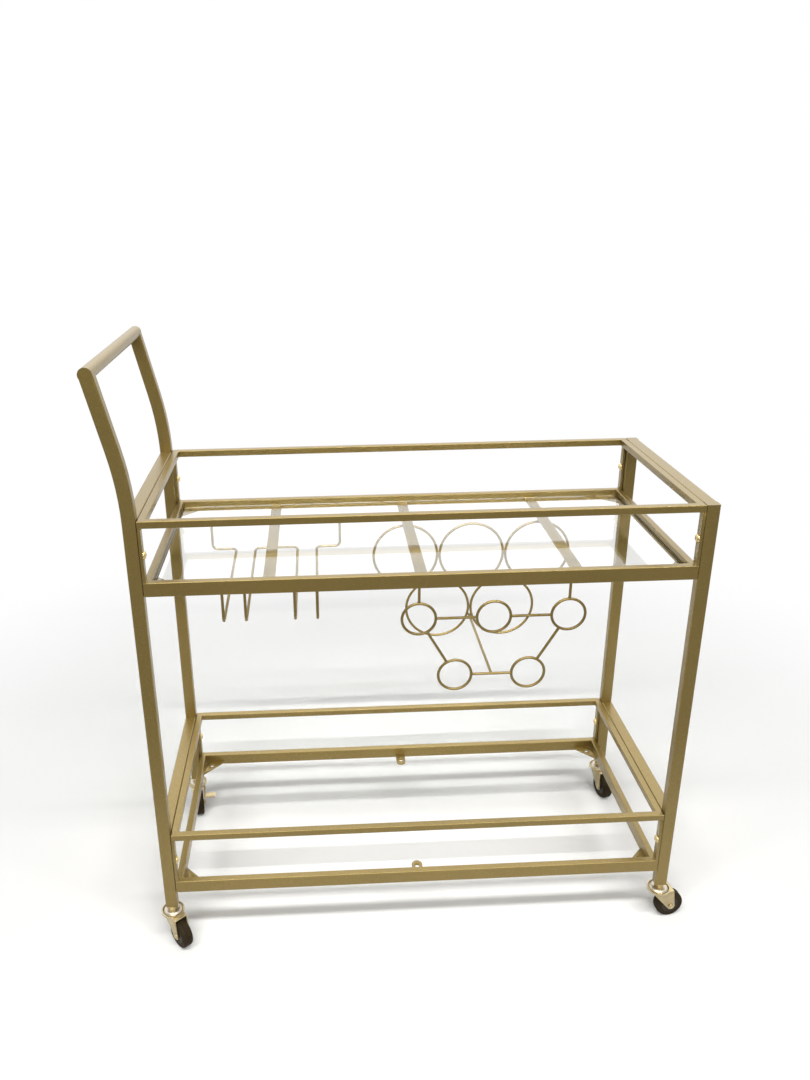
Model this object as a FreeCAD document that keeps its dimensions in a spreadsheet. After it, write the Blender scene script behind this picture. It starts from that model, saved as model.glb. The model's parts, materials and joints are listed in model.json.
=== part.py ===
import FreeCAD, Part
import math
import os
import Sketcher
from FreeCAD import Rotation, Vector

# Bar cart on casters, with a glass top tray, a stemware rack and a bottle rack.
# Millimetres, +Z up. Origin on the floor, midway between the four caster stems.
# X runs along the cart with the handle at -X. The front is at -Y.

# Driving dimensions
SIZES = {
    # heights above the floor
    "handle_height": 880,
    "top_rail_height": 685,
    "bottom_rail_height": 196,
    # legs, crossbars and handle
    "leg_width": 18,
    "leg_depth": 14,
    "leg_wall": 1.2,
    "leg_corner": 2,
    "leg_cap": 2,
    "bend_drop": 5,
    "bend_radius": 450,
    "lean_angle": 12.4,
    "crossbar_height": 10,
    "handle_wall": 1.2,
    # trays
    "tray_length": 726,
    "tray_depth": 315,
    "rail_size": 10,
    "rail_wall": 1,
    "rail_corner": 1.2,
    "lower_rail_height": 20,
    "tray_drop": 85,
    "tray_gap": 0.5,
    "plate_thickness": 4,
    "gusset_side": 34,
    "gusset_clip": 8,
    "panel_hole": 7,
    "gusset_hole_inset": 12,
    "tab_length": 28,
    "tab_hole_inset": 17,
    # glass and strips
    "glass_thickness": 5,
    "glass_clearance": 1.5,
    "glass_corner": 3,
    "glass_recess": 8.5,
    "strip_width": 16,
    "strip_thickness": 3,
    # racks, with places from the handle end of the tray and from the inner faces of its long rails
    "wire": 4,
    "wire_bend": 8,
    "weld_gap": 0.1,
    "stem_rack_x": 160,
    "stem_inner": 33,
    "stem_outer": 63,
    "stem_shoulder": 100,
    "stem_rear": 57.5,
    "stem_front": 12.5,
    "stem_drop_rear": 47,
    "stem_drop_front": 56,
    "bottle_rack_x": 0,
    "ring_pitch": 105,
    "body_ring_plane": 67,
    "neck_ring_plane": 40,
    "body_drop": 63,
    "neck_radius": 23.7,
    "neck_drop": 74.5,
    # tray screws
    "screw": 5,
    "screw_head": 11.5,
    "screw_head_height": 4,
    "screw_reach": 18,
    "screw_hole_clearance": 0.2,
    "rivet_nut": 7,
    "rivet_nut_length": 8,
    "rivet_nut_gap": 0.3,
    # casters, with leg and pedal pin above the top of the tyre, and crown and balls from the cup's edge
    "leg_clearance": 20.5,
    "plug_height": 22,
    "fit_clearance": 0.05,
    "stem": 8,
    "stem_reach": 24,
    "stem_nut": 13,
    "stem_nut_height": 7,
    "cup": 29,
    "cup_height": 4.6,
    "cup_slope": 3,
    "sheet": 1.6,
    "crown": 2.5,
    "crown_depth": 4.6,
    "ball": 3.6,
    "ball_circle": 4.8,
    "ball_count": 12,
    "race_clearance": 0.15,
    "trail": 19,
    "wheel": 43,
    "wheel_width": 16,
    "tread_round": 3.5,
    "hub": 26,
    "hub_clearance": 0.5,
    "axle": 5,
    "axle_head": 8,
    "axle_head_height": 1.6,
    "fork_tip": 6,
    "fork_web": 2,
    "pin": 3,
    "pin_x": 9,
    "pin_height": 0.5,
    "pedal_hub": 9,
    "pedal_thickness": 2,
    "pedal_neck": 12,
    "pedal_length": 24,
    "pedal_width": 18,
    # rest directions in which the casters trail, degrees from +X
    "front_left_yaw": -50,
    "front_right_yaw": 8,
    "rear_left_yaw": -80,
    "rear_right_yaw": -76,
}

doc = FreeCAD.newDocument("BarCart")
sheet = doc.addObject("Spreadsheet::Sheet", "Sizes")
for row, (alias, number) in enumerate(SIZES.items(), start=1):
    sheet.set(f"A{row}", alias)
    sheet.set(f"B{row}", str(number))
    sheet.setAlias(f"B{row}", alias)
doc.recompute()


class Size:
    """A value kept both as a sheet formula and as a number."""

    def __init__(self, text, number):
        self.text = text
        self.number = number

    def join(self, sign, other, number):
        return Size(f"({self.text} {sign} {other.text})", number)

    def __add__(self, other):
        other = as_size(other)
        return self.join("+", other, self.number + other.number)

    def __sub__(self, other):
        other = as_size(other)
        return self.join("-", other, self.number - other.number)

    def __mul__(self, other):
        other = as_size(other)
        return self.join("*", other, self.number * other.number)

    def __truediv__(self, other):
        other = as_size(other)
        return self.join("/", other, self.number / other.number)

    def __radd__(self, other):
        return as_size(other) + self

    def __rsub__(self, other):
        return as_size(other) - self

    def __rmul__(self, other):
        return as_size(other) * self

    def __neg__(self):
        return Size(f"(0 - {self.text})", -self.number)

    def __float__(self):
        return float(self.number)


def as_size(thing):
    if isinstance(thing, Size):
        return thing
    return Size(f"({thing})", thing)


def size(alias):
    return Size(f"Sizes.{alias}", float(sheet.get(alias)))


def cosine(angle):
    return Size(f"cos({angle.text})", math.cos(math.radians(angle.number)))


def sine(angle):
    return Size(f"sin({angle.text})", math.sin(math.radians(angle.number)))


def root(square):
    return Size(f"sqrt({square.text})", math.sqrt(square.number))


def bind(thing, name, value):
    """Bind a property to a sheet formula."""
    value = as_size(value)
    thing.setExpression(name, value.text)


def place(thing, x=0, y=0, z=0, turn=Rotation()):
    """Turn an object and bind its position to the sheet."""
    thing.Placement = FreeCAD.Placement(Vector(float(x), float(y), float(z)), turn)
    for axis, value in zip("xyz", (x, y, z)):
        bind(thing, f"Placement.Base.{axis}", value)
    return thing


def turned(axis, degrees):
    return Rotation(axis, float(degrees))


X_AXIS = Vector(1, 0, 0)
Y_AXIS = Vector(0, 1, 0)
Z_AXIS = Vector(0, 0, 1)

# Bodies and sketches


def new_body(name):
    body = doc.addObject("PartDesign::Body", name)
    body.Label = name
    return body


def new_sketch(body, role):
    sketch = body.newObject("Sketcher::SketchObject", f"{body.Name}_sketch")
    plane = [feature for feature in body.Origin.OriginFeatures if feature.Role == role][0]
    sketch.AttachmentSupport = [(plane, "")]
    sketch.MapMode = "FlatFace"
    return sketch


def bind_last(sketch, value):
    bind(sketch, f"Constraints[{sketch.ConstraintCount - 1}]", value)


def fix_coordinate(sketch, kind, axis, geometry, point, value):
    """Hold one coordinate of a sketch point at a bound distance from the origin."""
    value = as_size(value)
    if value.number == 0:
        sketch.addConstraint(Sketcher.Constraint("PointOnObject", geometry, point, axis))
        return
    if value.number > 0:
        limits = (-1, 1, geometry, point)
    else:
        limits = (geometry, point, -1, 1)
        value = -value
    sketch.addConstraint(Sketcher.Constraint(kind, *limits, value.number))
    bind_last(sketch, value)


def fix_point(sketch, geometry, point, x, y):
    fix_coordinate(sketch, "DistanceX", -2, geometry, point, x)
    fix_coordinate(sketch, "DistanceY", -1, geometry, point, y)


def add_circle(sketch, x, y, radius):
    centre = Vector(float(x), float(y), 0)
    index = sketch.addGeometry(Part.Circle(centre, Z_AXIS, float(radius)), False)
    fix_point(sketch, index, 3, x, y)
    sketch.addConstraint(Sketcher.Constraint("Radius", index, float(radius)))
    bind_last(sketch, radius)


def add_polygon(sketch, points):
    """Draw a closed outline of straight lines through bound points."""
    corners = [Vector(float(x), float(y), 0) for x, y in points]
    first = sketch.GeometryCount
    count = len(corners)
    for index in range(count):
        line = Part.LineSegment(corners[index], corners[(index + 1) % count])
        sketch.addGeometry(line, False)
    for index in range(count):
        following = first + (index + 1) % count
        sketch.addConstraint(Sketcher.Constraint("Coincident", first + index, 2, following, 1))
    for index, (x, y) in enumerate(points):
        fix_point(sketch, first + index, 1, x, y)


def add_rounded_rectangle(sketch, width, height, corner):
    """Draw a rectangle with round corners about the sketch's origin."""
    half_x = float(width) / 2
    half_y = float(height) / 2
    radius = float(corner)
    first = sketch.GeometryCount
    for quarter in range(4):
        angle = (quarter - 1) * math.pi / 2
        along = Vector(math.cos(angle + math.pi / 2), math.sin(angle + math.pi / 2), 0)
        middle = Vector(half_x * math.cos(angle), half_y * math.sin(angle), 0)
        reach = abs(along.x) * (half_x - radius) + abs(along.y) * (half_y - radius)
        sketch.addGeometry(Part.LineSegment(middle - along * reach, middle + along * reach), False)
        direction = Vector(math.cos(angle), math.sin(angle), 0)
        circle = Part.Circle(middle + along * reach - direction * radius, Z_AXIS, radius)
        sketch.addGeometry(Part.ArcOfCircle(circle, angle, angle + math.pi / 2), False)
    for index in range(8):
        following = first + (index + 1) % 8
        sketch.addConstraint(Sketcher.Constraint("Tangent", first + index, 2, following, 1))
    for index in (0, 4):
        sketch.addConstraint(Sketcher.Constraint("Horizontal", first + index))
        sketch.addConstraint(Sketcher.Constraint("Vertical", first + index + 2))
    for index in (3, 5, 7):
        sketch.addConstraint(Sketcher.Constraint("Equal", first + 1, first + index))
    sketch.addConstraint(Sketcher.Constraint("Radius", first + 1, radius))
    bind_last(sketch, corner)
    fix_coordinate(sketch, "DistanceY", -1, first, 1, -height / 2)
    fix_coordinate(sketch, "DistanceX", -2, first + 2, 1, width / 2)
    fix_coordinate(sketch, "DistanceY", -1, first + 4, 1, height / 2)
    fix_coordinate(sketch, "DistanceX", -2, first + 6, 1, -width / 2)


def add_tube_section(sketch, width, height, wall, corner):
    add_rounded_rectangle(sketch, width, height, corner)
    add_rounded_rectangle(sketch, width - 2 * wall, height - 2 * wall, corner - wall * 0.7)


def pad(body, sketch, length, symmetric=False, reverse=False):
    feature = body.newObject("PartDesign::Pad", f"{body.Name}_pad")
    feature.Profile = sketch
    feature.SideType = "Symmetric" if symmetric else "One side"
    feature.Reversed = reverse
    bind(feature, "Length", length)
    return feature


def pocket(body, sketch, length, symmetric=True):
    feature = body.newObject("PartDesign::Pocket", f"{body.Name}_pocket")
    feature.Profile = sketch
    feature.SideType = "Symmetric" if symmetric else "One side"
    bind(feature, "Length", length)
    return feature


def revolve(body, sketch):
    """Turn a profile once round the sketch's vertical axis."""
    feature = body.newObject("PartDesign::Revolution", f"{body.Name}_turn")
    feature.Profile = sketch
    feature.ReferenceAxis = (sketch, ["V_Axis"])
    feature.Angle = 360
    return feature


def turned_body(name, role, points):
    body = new_body(name)
    sketch = new_sketch(body, role)
    add_polygon(sketch, points)
    revolve(body, sketch)
    return body


def fillet(body, radius, wanted):
    """Round the edges of the body that the wanted test picks."""
    doc.recompute()
    base = body.Tip
    names = [f"Edge{number}" for number, edge in enumerate(base.Shape.Edges, start=1) if wanted(edge)]
    feature = body.newObject("PartDesign::Fillet", f"{body.Name}_round")
    feature.Base = (base, names)
    bind(feature, "Radius", radius)
    return feature


def group(name, members):
    """Join identical pieces into one node of separate solids."""
    compound = doc.addObject("Part::Compound", name)
    compound.Label = name
    compound.Links = members
    return compound


nodes = []


def keep(thing):
    nodes.append(thing)
    return thing


# Places shared by several pieces
tray_length = size("tray_length")
tray_depth = size("tray_depth")
rail = size("rail_size")
lower_rail = size("lower_rail_height")
leg_width = size("leg_width")
leg_depth = size("leg_depth")
leg_bottom = size("wheel") + size("leg_clearance")
strip_thickness = size("strip_thickness")
wire = size("wire")
weld_gap = size("weld_gap")
fit = size("fit_clearance")

leg_x = tray_length / 2 + size("tray_gap") + leg_width / 2
leg_y = tray_depth / 2 - leg_depth / 2
lower_rail_top = {level: size(f"{level}_rail_height") - size("tray_drop") for level in ("top", "bottom")}
shelf_top = {
    level: lower_rail_top[level] - size("glass_recess") - size("glass_thickness")
    for level in ("top", "bottom")
}
strip_bottom = shelf_top["top"] - strip_thickness
wire_top = strip_bottom - weld_gap
rail_face = tray_depth / 2 - rail
plate_y = tray_depth / 2 - rail / 2
screw_y = tray_depth / 2 - size("leg_wall") - size("rivet_nut_gap") - size("rivet_nut") / 2
plate_height = size("tray_drop") - rail
screw_drop = rail + plate_height / 2
ENDS = (("handle_end", -1), ("plain_end", 1))
SIDES = (("front", -1), ("rear", 1))
LEVELS = ("top", "bottom")

# Legs


def drill_leg(body, toward, outward):
    """Cut the holes for the tray screws in the leg's inner wall."""
    sketch = new_sketch(body, "YZ_Plane")
    for level in LEVELS:
        height = size(f"{level}_rail_height") - screw_drop - leg_bottom
        add_circle(sketch, toward * (screw_y - leg_y), height, size("rivet_nut") / 2 + fit)
    cut = pocket(body, sketch, leg_width / 2 + fit, symmetric=False)
    cut.Reversed = outward < 0


def plain_end_leg(side, toward):
    """Straight tube with a closed top."""
    body = new_body(f"plain_end_leg_{side}")
    length = size("top_rail_height") - leg_bottom
    tube = new_sketch(body, "XY_Plane")
    add_tube_section(tube, leg_width, leg_depth, size("leg_wall"), size("leg_corner"))
    pad(body, tube, length)
    cap = new_sketch(body, "XY_Plane")
    add_rounded_rectangle(cap, leg_width, leg_depth, size("leg_corner"))
    bind(cap, "AttachmentOffset.Base.z", length - size("leg_cap"))
    pad(body, cap, size("leg_cap"))
    drill_leg(body, toward, 1)
    return place(body, leg_x, toward * leg_y, leg_bottom)


def handle_end_leg(side, toward):
    """Tube that bends outward above the top tray and ends in a round top."""
    body = new_body(f"handle_end_leg_{side}")
    section = new_sketch(body, "XY_Plane")
    add_tube_section(section, leg_width, leg_depth, size("leg_wall"), size("leg_corner"))
    spine = new_sketch(body, "XZ_Plane")
    start = Vector(0, 0, 0)
    bend = Vector(0, float(bend_start), 0)
    bend_end = Vector(float(-bend_reach), float(bend_start + bend_rise), 0)
    top = Vector(float(-handle_reach), float(handle_rise), 0)
    centre = Vector(-float(size("bend_radius")), float(bend_start), 0)
    circle = Part.Circle(centre, Z_AXIS, float(size("bend_radius")))
    spine.addGeometry(Part.LineSegment(start, bend), False)
    spine.addGeometry(Part.ArcOfCircle(circle, 0, math.radians(float(size("lean_angle")))), False)
    spine.addGeometry(Part.LineSegment(bend_end, top), False)
    spine.addConstraint(Sketcher.Constraint("Coincident", 0, 1, -1, 1))
    spine.addConstraint(Sketcher.Constraint("Vertical", 0))
    spine.addConstraint(Sketcher.Constraint("Tangent", 0, 2, 1, 1))
    spine.addConstraint(Sketcher.Constraint("Tangent", 1, 2, 2, 1))
    fix_coordinate(spine, "DistanceY", -1, 0, 2, bend_start)
    spine.addConstraint(Sketcher.Constraint("Radius", 1, float(size("bend_radius"))))
    bind_last(spine, size("bend_radius"))
    fix_point(spine, 2, 2, -handle_reach, handle_rise)
    pipe = body.newObject("PartDesign::AdditivePipe", f"{body.Name}_pipe")
    pipe.Profile = section
    pipe.Spine = spine
    round_top = new_sketch(body, "XZ_Plane")
    add_circle(round_top, -handle_reach, handle_rise, leg_width / 2)
    pad(body, round_top, leg_depth, symmetric=True)
    drill_leg(body, toward, -1)
    return place(body, -leg_x, toward * leg_y, leg_bottom)


# Lean of the handle end above the bend, measured from the leg's bottom centre
lean = size("lean_angle")
bend_start = size("top_rail_height") - size("bend_drop") - leg_bottom
bend_rise = size("bend_radius") * sine(lean)
bend_reach = size("bend_radius") * (1 - cosine(lean))
handle_rise = size("handle_height") - leg_width / 2 - leg_bottom
handle_slope = (handle_rise - bend_start - bend_rise) / cosine(lean)
handle_reach = bend_reach + handle_slope * sine(lean)

for side, toward in SIDES:
    keep(handle_end_leg(side, toward))
    keep(plain_end_leg(side, toward))


def straight_tube(name, width, height, wall, corner, length):
    """Rectangular tube along its own Z, from the origin."""
    body = new_body(name)
    sketch = new_sketch(body, "XY_Plane")
    add_tube_section(sketch, width, height, wall, corner)
    pad(body, sketch, length)
    return body


# Crossbars and handle
span = tray_depth - 2 * leg_depth
ACROSS = turned(X_AXIS, -90)
for end, outward in ENDS:
    for level in LEVELS:
        bar_size = size("crossbar_height")
        bar = straight_tube(f"{end}_{level}_crossbar", leg_width, bar_size, size("leg_wall"),
                            size("leg_corner"), span)
        keep(place(bar, outward * leg_x, -span / 2, size(f"{level}_rail_height") - bar_size / 2, ACROSS))

handle = new_body("handle_bar")
ring = new_sketch(handle, "XY_Plane")
add_circle(ring, 0, 0, leg_width / 2)
add_circle(ring, 0, 0, leg_width / 2 - size("handle_wall"))
pad(handle, ring, span)
keep(place(handle, -leg_x - handle_reach, -span / 2, leg_bottom + handle_rise, ACROSS))

# Trays


def mitred_rail(name, height, length):
    """Square or tall tube whose two ends are cut at 45 degrees, long face at -X."""
    body = straight_tube(name, rail, height, size("rail_wall"), size("rail_corner"), length)
    cut = new_sketch(body, "XZ_Plane")
    spare = rail / 2
    near = [(-rail / 2 - spare, -spare), (rail / 2 + spare, -spare), (rail / 2 + spare, rail + spare)]
    far = [(x, length - z) for x, z in near]
    add_polygon(cut, near)
    add_polygon(cut, far)
    pocket(body, cut, height * 2)
    return body


def rail_frame(level, position, height, middle):
    """Four mitred rails as two groups, the long pair and the end pair."""
    long_rails = []
    end_rails = []
    for side, toward in SIDES:
        body = mitred_rail(f"{level}_{side}_{position}_rail", height, tray_length)
        if toward < 0:
            turn = Rotation(Vector(0, 1, 0), Vector(0, 0, 1), Vector(1, 0, 0), "ZXY")
            place(body, -tray_length / 2, -tray_depth / 2 + rail / 2, middle, turn)
        else:
            turn = Rotation(Vector(0, -1, 0), Vector(0, 0, 1), Vector(-1, 0, 0), "ZXY")
            place(body, tray_length / 2, tray_depth / 2 - rail / 2, middle, turn)
        long_rails.append(body)
    for end, outward in ENDS:
        body = mitred_rail(f"{level}_{end}_{position}_rail", height, tray_depth)
        if outward < 0:
            turn = Rotation(Vector(1, 0, 0), Vector(0, 0, 1), Vector(0, -1, 0), "ZXY")
            place(body, -tray_length / 2 + rail / 2, tray_depth / 2, middle, turn)
        else:
            turn = Rotation(Vector(-1, 0, 0), Vector(0, 0, 1), Vector(0, 1, 0), "ZXY")
            place(body, tray_length / 2 - rail / 2, -tray_depth / 2, middle, turn)
        end_rails.append(body)
    keep(group(f"{level}_tray_long_{position}_rails", long_rails))
    keep(group(f"{level}_tray_end_{position}_rails", end_rails))


def corner_plates(level):
    """Flat plates between upper and lower rails, drilled for the tray screws."""
    plates = []
    for end, outward in ENDS:
        for side, toward in SIDES:
            body = new_body(f"{level}_{end}_{side}_plate")
            face = new_sketch(body, "YZ_Plane")
            half = rail / 2
            add_polygon(face, [(-half, 0), (half, 0), (half, plate_height), (-half, plate_height)])
            add_circle(face, toward * (screw_y - plate_y), plate_height / 2,
                       size("screw") / 2 + size("screw_hole_clearance"))
            pad(body, face, size("plate_thickness"), symmetric=True)
            x = outward * (tray_length / 2 - size("plate_thickness") / 2)
            plates.append(place(body, x, toward * plate_y, lower_rail_top[level]))
    keep(group(f"{level}_tray_corner_plates", plates))


def gussets(level):
    """Corner plates level with the shelf, each with a hole and a clipped corner."""
    pieces = []
    side = size("gusset_side")
    clip = size("gusset_clip")
    inset = size("gusset_hole_inset")
    for quarter, (x_sign, y_sign) in enumerate(((-1, -1), (1, -1), (1, 1), (-1, 1))):
        body = new_body(f"{level}_gusset_{quarter + 1}")
        face = new_sketch(body, "XY_Plane")
        add_polygon(face, [(clip, 0), (side, 0), (0, side), (0, clip)])
        add_circle(face, inset, inset, size("panel_hole") / 2)
        pad(body, face, strip_thickness)
        x = x_sign * (tray_length / 2 - rail)
        y = y_sign * (tray_depth / 2 - rail)
        place(body, x, y, shelf_top[level] - strip_thickness, turned(Z_AXIS, 90 * quarter))
        pieces.append(body)
    keep(group(f"{level}_tray_gussets", pieces))


for level in LEVELS:
    rail_frame(level, "upper", rail, size(f"{level}_rail_height") - rail / 2)
    rail_frame(level, "lower", lower_rail, lower_rail_top[level] - lower_rail / 2)
    corner_plates(level)
    gussets(level)


def shelf_tab(name):
    """Flat tab with a round end, reaching from its rail along +Y."""
    body = new_body(name)
    face = new_sketch(body, "XY_Plane")
    half = size("strip_width") / 2
    straight = size("tab_length") - half
    add_polygon(face, [(-half, 0), (half, 0), (half, straight), (-half, straight)])
    pad(body, face, strip_thickness)
    tip = new_sketch(body, "XY_Plane")
    add_circle(tip, 0, straight, half)
    pad(body, tip, strip_thickness)
    hole = new_sketch(body, "XY_Plane")
    add_circle(hole, 0, size("tab_hole_inset"), size("panel_hole") / 2)
    pocket(body, hole, strip_thickness * 4)
    return body


tabs = []
for side, toward in SIDES:
    tab = shelf_tab(f"{side}_shelf_tab")
    turn = turned(Z_AXIS, 180 if toward > 0 else 0)
    height = shelf_top["bottom"] - strip_thickness
    tabs.append(place(tab, 0, toward * rail_face, height, turn))
keep(group("bottom_tray_tabs", tabs))

# Glass and strips
glass = new_body("glass_panel")
pane = new_sketch(glass, "XY_Plane")
glass_margin = 2 * rail + 2 * size("glass_clearance")
add_rounded_rectangle(pane, tray_length - glass_margin, tray_depth - glass_margin, size("glass_corner"))
pad(glass, pane, size("glass_thickness"))
keep(place(glass, 0, 0, shelf_top["top"]))

strip_length = 2 * rail_face - 2 * weld_gap
rack_x = size("stem_rack_x") - tray_length / 2
last_ring_x = size("bottle_rack_x") + 2 * size("ring_pitch")
strip_places = {
    "stem_rack_strip": rack_x,
    "bottle_rack_middle_strip": size("bottle_rack_x"),
    "bottle_rack_end_strip": last_ring_x,
}
for name, x in strip_places.items():
    strip = new_body(name)
    face = new_sketch(strip, "XY_Plane")
    half_width = size("strip_width") / 2
    half_length = strip_length / 2
    add_polygon(face, [(-half_width, -half_length), (half_width, -half_length),
                       (half_width, half_length), (-half_width, half_length)])
    if name == "bottle_rack_middle_strip":
        for toward in (-1, 1):
            add_circle(face, 0, toward * (rail_face - size("tab_hole_inset")), size("panel_hole") / 2)
    pad(strip, face, strip_thickness)
    keep(place(strip, x, 0, strip_bottom))

# Wire racks


def straight_wire(name, start, end):
    """Round wire from one point to another."""
    begin = Vector(*[float(value) for value in start])
    finish = Vector(*[float(value) for value in end])
    rod = doc.addObject("Part::Cylinder", name)
    rod.Label = name
    bind(rod, "Radius", wire / 2)
    squares = [(late - early) * (late - early) for early, late in zip(start, end)]
    bind(rod, "Height", root(squares[0] + squares[1] + squares[2]))
    return place(rod, *start, Rotation(Z_AXIS, finish - begin))


def bent_wire(name, points):
    """Round wire through corner points, with the same bend radius at each corner."""
    corners = [Vector(*[float(value) for value in point]) for point in points]
    radius = float(size("wire_bend"))
    edges = []
    last = corners[0]
    for before, corner, after in zip(corners, corners[1:], corners[2:]):
        inward = (before - corner).normalize()
        onward = (after - corner).normalize()
        half = inward.getAngle(onward) / 2
        cut = radius / math.tan(half)
        middle = (inward + onward).normalize()
        centre = corner + middle * (radius / math.sin(half))
        begin = corner + inward * cut
        finish = corner + onward * cut
        edges.append(Part.LineSegment(last, begin).toShape())
        edges.append(Part.Arc(begin, centre - middle * radius, finish).toShape())
        last = finish
    edges.append(Part.LineSegment(last, corners[-1]).toShape())
    path = Part.Wire(edges)
    start = corners[1] - corners[0]
    circle = Part.Circle(corners[0], start, float(wire) / 2)
    section = Part.Wire([circle.toShape()])
    rod = doc.addObject("Part::Feature", name)
    rod.Label = name
    rod.Shape = path.makePipeShell([section], True, True)
    return rod


# Stemware rack: two slots between four rails, closed at the front
rack_top = wire_top - wire / 2
rear_rail = strip_bottom - size("stem_drop_rear")
front_rail = strip_bottom - size("stem_drop_front")
rear_plane = rail_face - size("stem_rear")
front_plane = size("stem_front") - rail_face
post_top = rack_top - wire / 2 - weld_gap
outer = size("stem_outer")
inner = size("stem_inner")
shoulder = size("stem_shoulder")

left_half = [
    (rack_x - outer, front_plane, post_top),
    (rack_x - outer, front_plane, front_rail),
    (rack_x - outer, rear_plane, rear_rail),
    (rack_x - shoulder, rear_plane, rear_rail),
    (rack_x - shoulder, rear_plane, rack_top),
]
right_half = [(2 * rack_x - x, y, z) for x, y, z in reversed(left_half)]
keep(bent_wire("stem_rack_outer_wire", left_half + right_half))

inner_left = [
    (rack_x - inner, front_plane, post_top),
    (rack_x - inner, front_plane, front_rail),
    (rack_x - inner, rear_plane, rear_rail),
]
inner_right = [(2 * rack_x - x, y, z) for x, y, z in reversed(inner_left)]
keep(bent_wire("stem_rack_inner_wire", inner_left + inner_right))

bar_reach = outer + wire / 2
weld = wire / 2 + weld_gap
keep(group("stem_rack_cross_wires", [
    straight_wire("stem_rack_front_bar", (rack_x - bar_reach, front_plane, rack_top),
                  (rack_x + bar_reach, front_plane, rack_top)),
    straight_wire("stem_rack_middle_post", (rack_x, rear_plane, rear_rail + weld),
                  (rack_x, rear_plane, rack_top - weld)),
]))

# Bottle rack: five body rings at the rear and five neck rings at the front
pitch = size("ring_pitch")
row_pitch = pitch * math.sin(math.radians(60))
body_radius = (pitch - wire - weld_gap) / 2
body_height = strip_bottom - size("body_drop")
neck_radius = size("neck_radius")
neck_height = strip_bottom - size("neck_drop")
body_plane = rail_face - size("body_ring_plane")
neck_plane = size("neck_ring_plane") - rail_face
ring_places = [(size("bottle_rack_x") + pitch * column, 0) for column in range(3)]
ring_places = ring_places + [(size("bottle_rack_x") + pitch * (column + 0.5), 1) for column in range(2)]


def ring_row(name, radius, plane, height):
    rings = []
    for number, (x, row) in enumerate(ring_places, start=1):
        hoop = doc.addObject("Part::Torus", f"{name}_{number}")
        bind(hoop, "Radius1", radius)
        bind(hoop, "Radius2", wire / 2)
        rings.append(place(hoop, x, plane, height - row_pitch * row, turned(X_AXIS, 90)))
    keep(group(name, rings))


ring_row("bottle_rack_body_rings", body_radius, body_plane, body_height)
ring_row("bottle_rack_neck_rings", neck_radius, neck_plane, neck_height)


def neck_bar(number, first, second):
    """Wire between two neck rings, along the line of their centres."""
    start = (first[0], neck_plane, neck_height - row_pitch * first[1])
    end = (second[0], neck_plane, neck_height - row_pitch * second[1])
    reach = neck_radius + weld
    steps = [late - early for early, late in zip(start, end)]
    apart = math.sqrt(sum(float(step) ** 2 for step in steps))
    begin = [early + step * (1 / apart) * reach for early, step in zip(start, steps)]
    finish = [late - step * (1 / apart) * reach for late, step in zip(end, steps)]
    return straight_wire(f"neck_bar_{number}", begin, finish)


rack_wires = []
for number, (first, second) in enumerate(((0, 1), (1, 2), (3, 4), (0, 3), (2, 4)), start=1):
    rack_wires.append(neck_bar(number, ring_places[first], ring_places[second]))
for column in (0, 2):
    x = ring_places[column][0]
    hangers = {
        "neck": (neck_plane, neck_height + neck_radius),
        "body": (body_plane, body_height + body_radius),
    }
    for ring_name, (plane, ring_top) in hangers.items():
        rack_wires.append(straight_wire(f"{ring_name}_hanger_{column + 1}", (x, plane, ring_top + weld),
                                        (x, plane, wire_top)))
keep(group("bottle_rack_bars_and_hangers", rack_wires))

# The spine runs from the lower neck bar to the valley between the two lower body rings
spine_x = size("bottle_rack_x") + pitch
valley_reach = body_radius + wire + weld_gap
valley_drop = root(valley_reach * valley_reach - pitch * pitch / 4)
spine_front = (spine_x, neck_plane + weld, neck_height - row_pitch)
spine_rear = (spine_x, body_plane + wire / 2, body_height - row_pitch - valley_drop)
keep(straight_wire("bottle_rack_spine", spine_front, spine_rear))

# Tray screws and the rivet nuts inside the legs


def tray_screw(name):
    """Domed screw along X, its head against the corner plate."""
    shank = size("screw") / 2
    head = size("screw_head") / 2
    tall = size("screw_head_height")
    profile = [(0, -size("screw_reach")), (shank, -size("screw_reach")), (shank, 0), (head, 0),
               (head, tall * 0.3), (head * 0.55, tall), (0, tall)]
    return turned_body(name, "XZ_Plane", profile)


def rivet_nut(name):
    """Threaded sleeve along X, set in the leg's inner wall."""
    bore = size("screw") / 2 + fit
    barrel = size("rivet_nut") / 2
    profile = [(bore, 0), (barrel, 0), (barrel, -size("rivet_nut_length")), (bore, -size("rivet_nut_length"))]
    return turned_body(name, "XZ_Plane", profile)


screws = []
nuts = []
for level in LEVELS:
    height = size(f"{level}_rail_height") - screw_drop
    for end, outward in ENDS:
        turn = turned(Y_AXIS, -90 * outward)
        for side, toward in SIDES:
            seat = outward * (tray_length / 2 - size("plate_thickness"))
            screw = tray_screw(f"{level}_{end}_{side}_screw")
            screws.append(place(screw, seat, toward * screw_y, height, turn))
            nut = rivet_nut(f"{level}_{end}_{side}_nut")
            wall = outward * (tray_length / 2 + size("tray_gap"))
            nuts.append(place(nut, wall, toward * screw_y, height, turn))
keep(group("tray_screws", screws))
keep(group("rivet_nuts", nuts))

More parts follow.
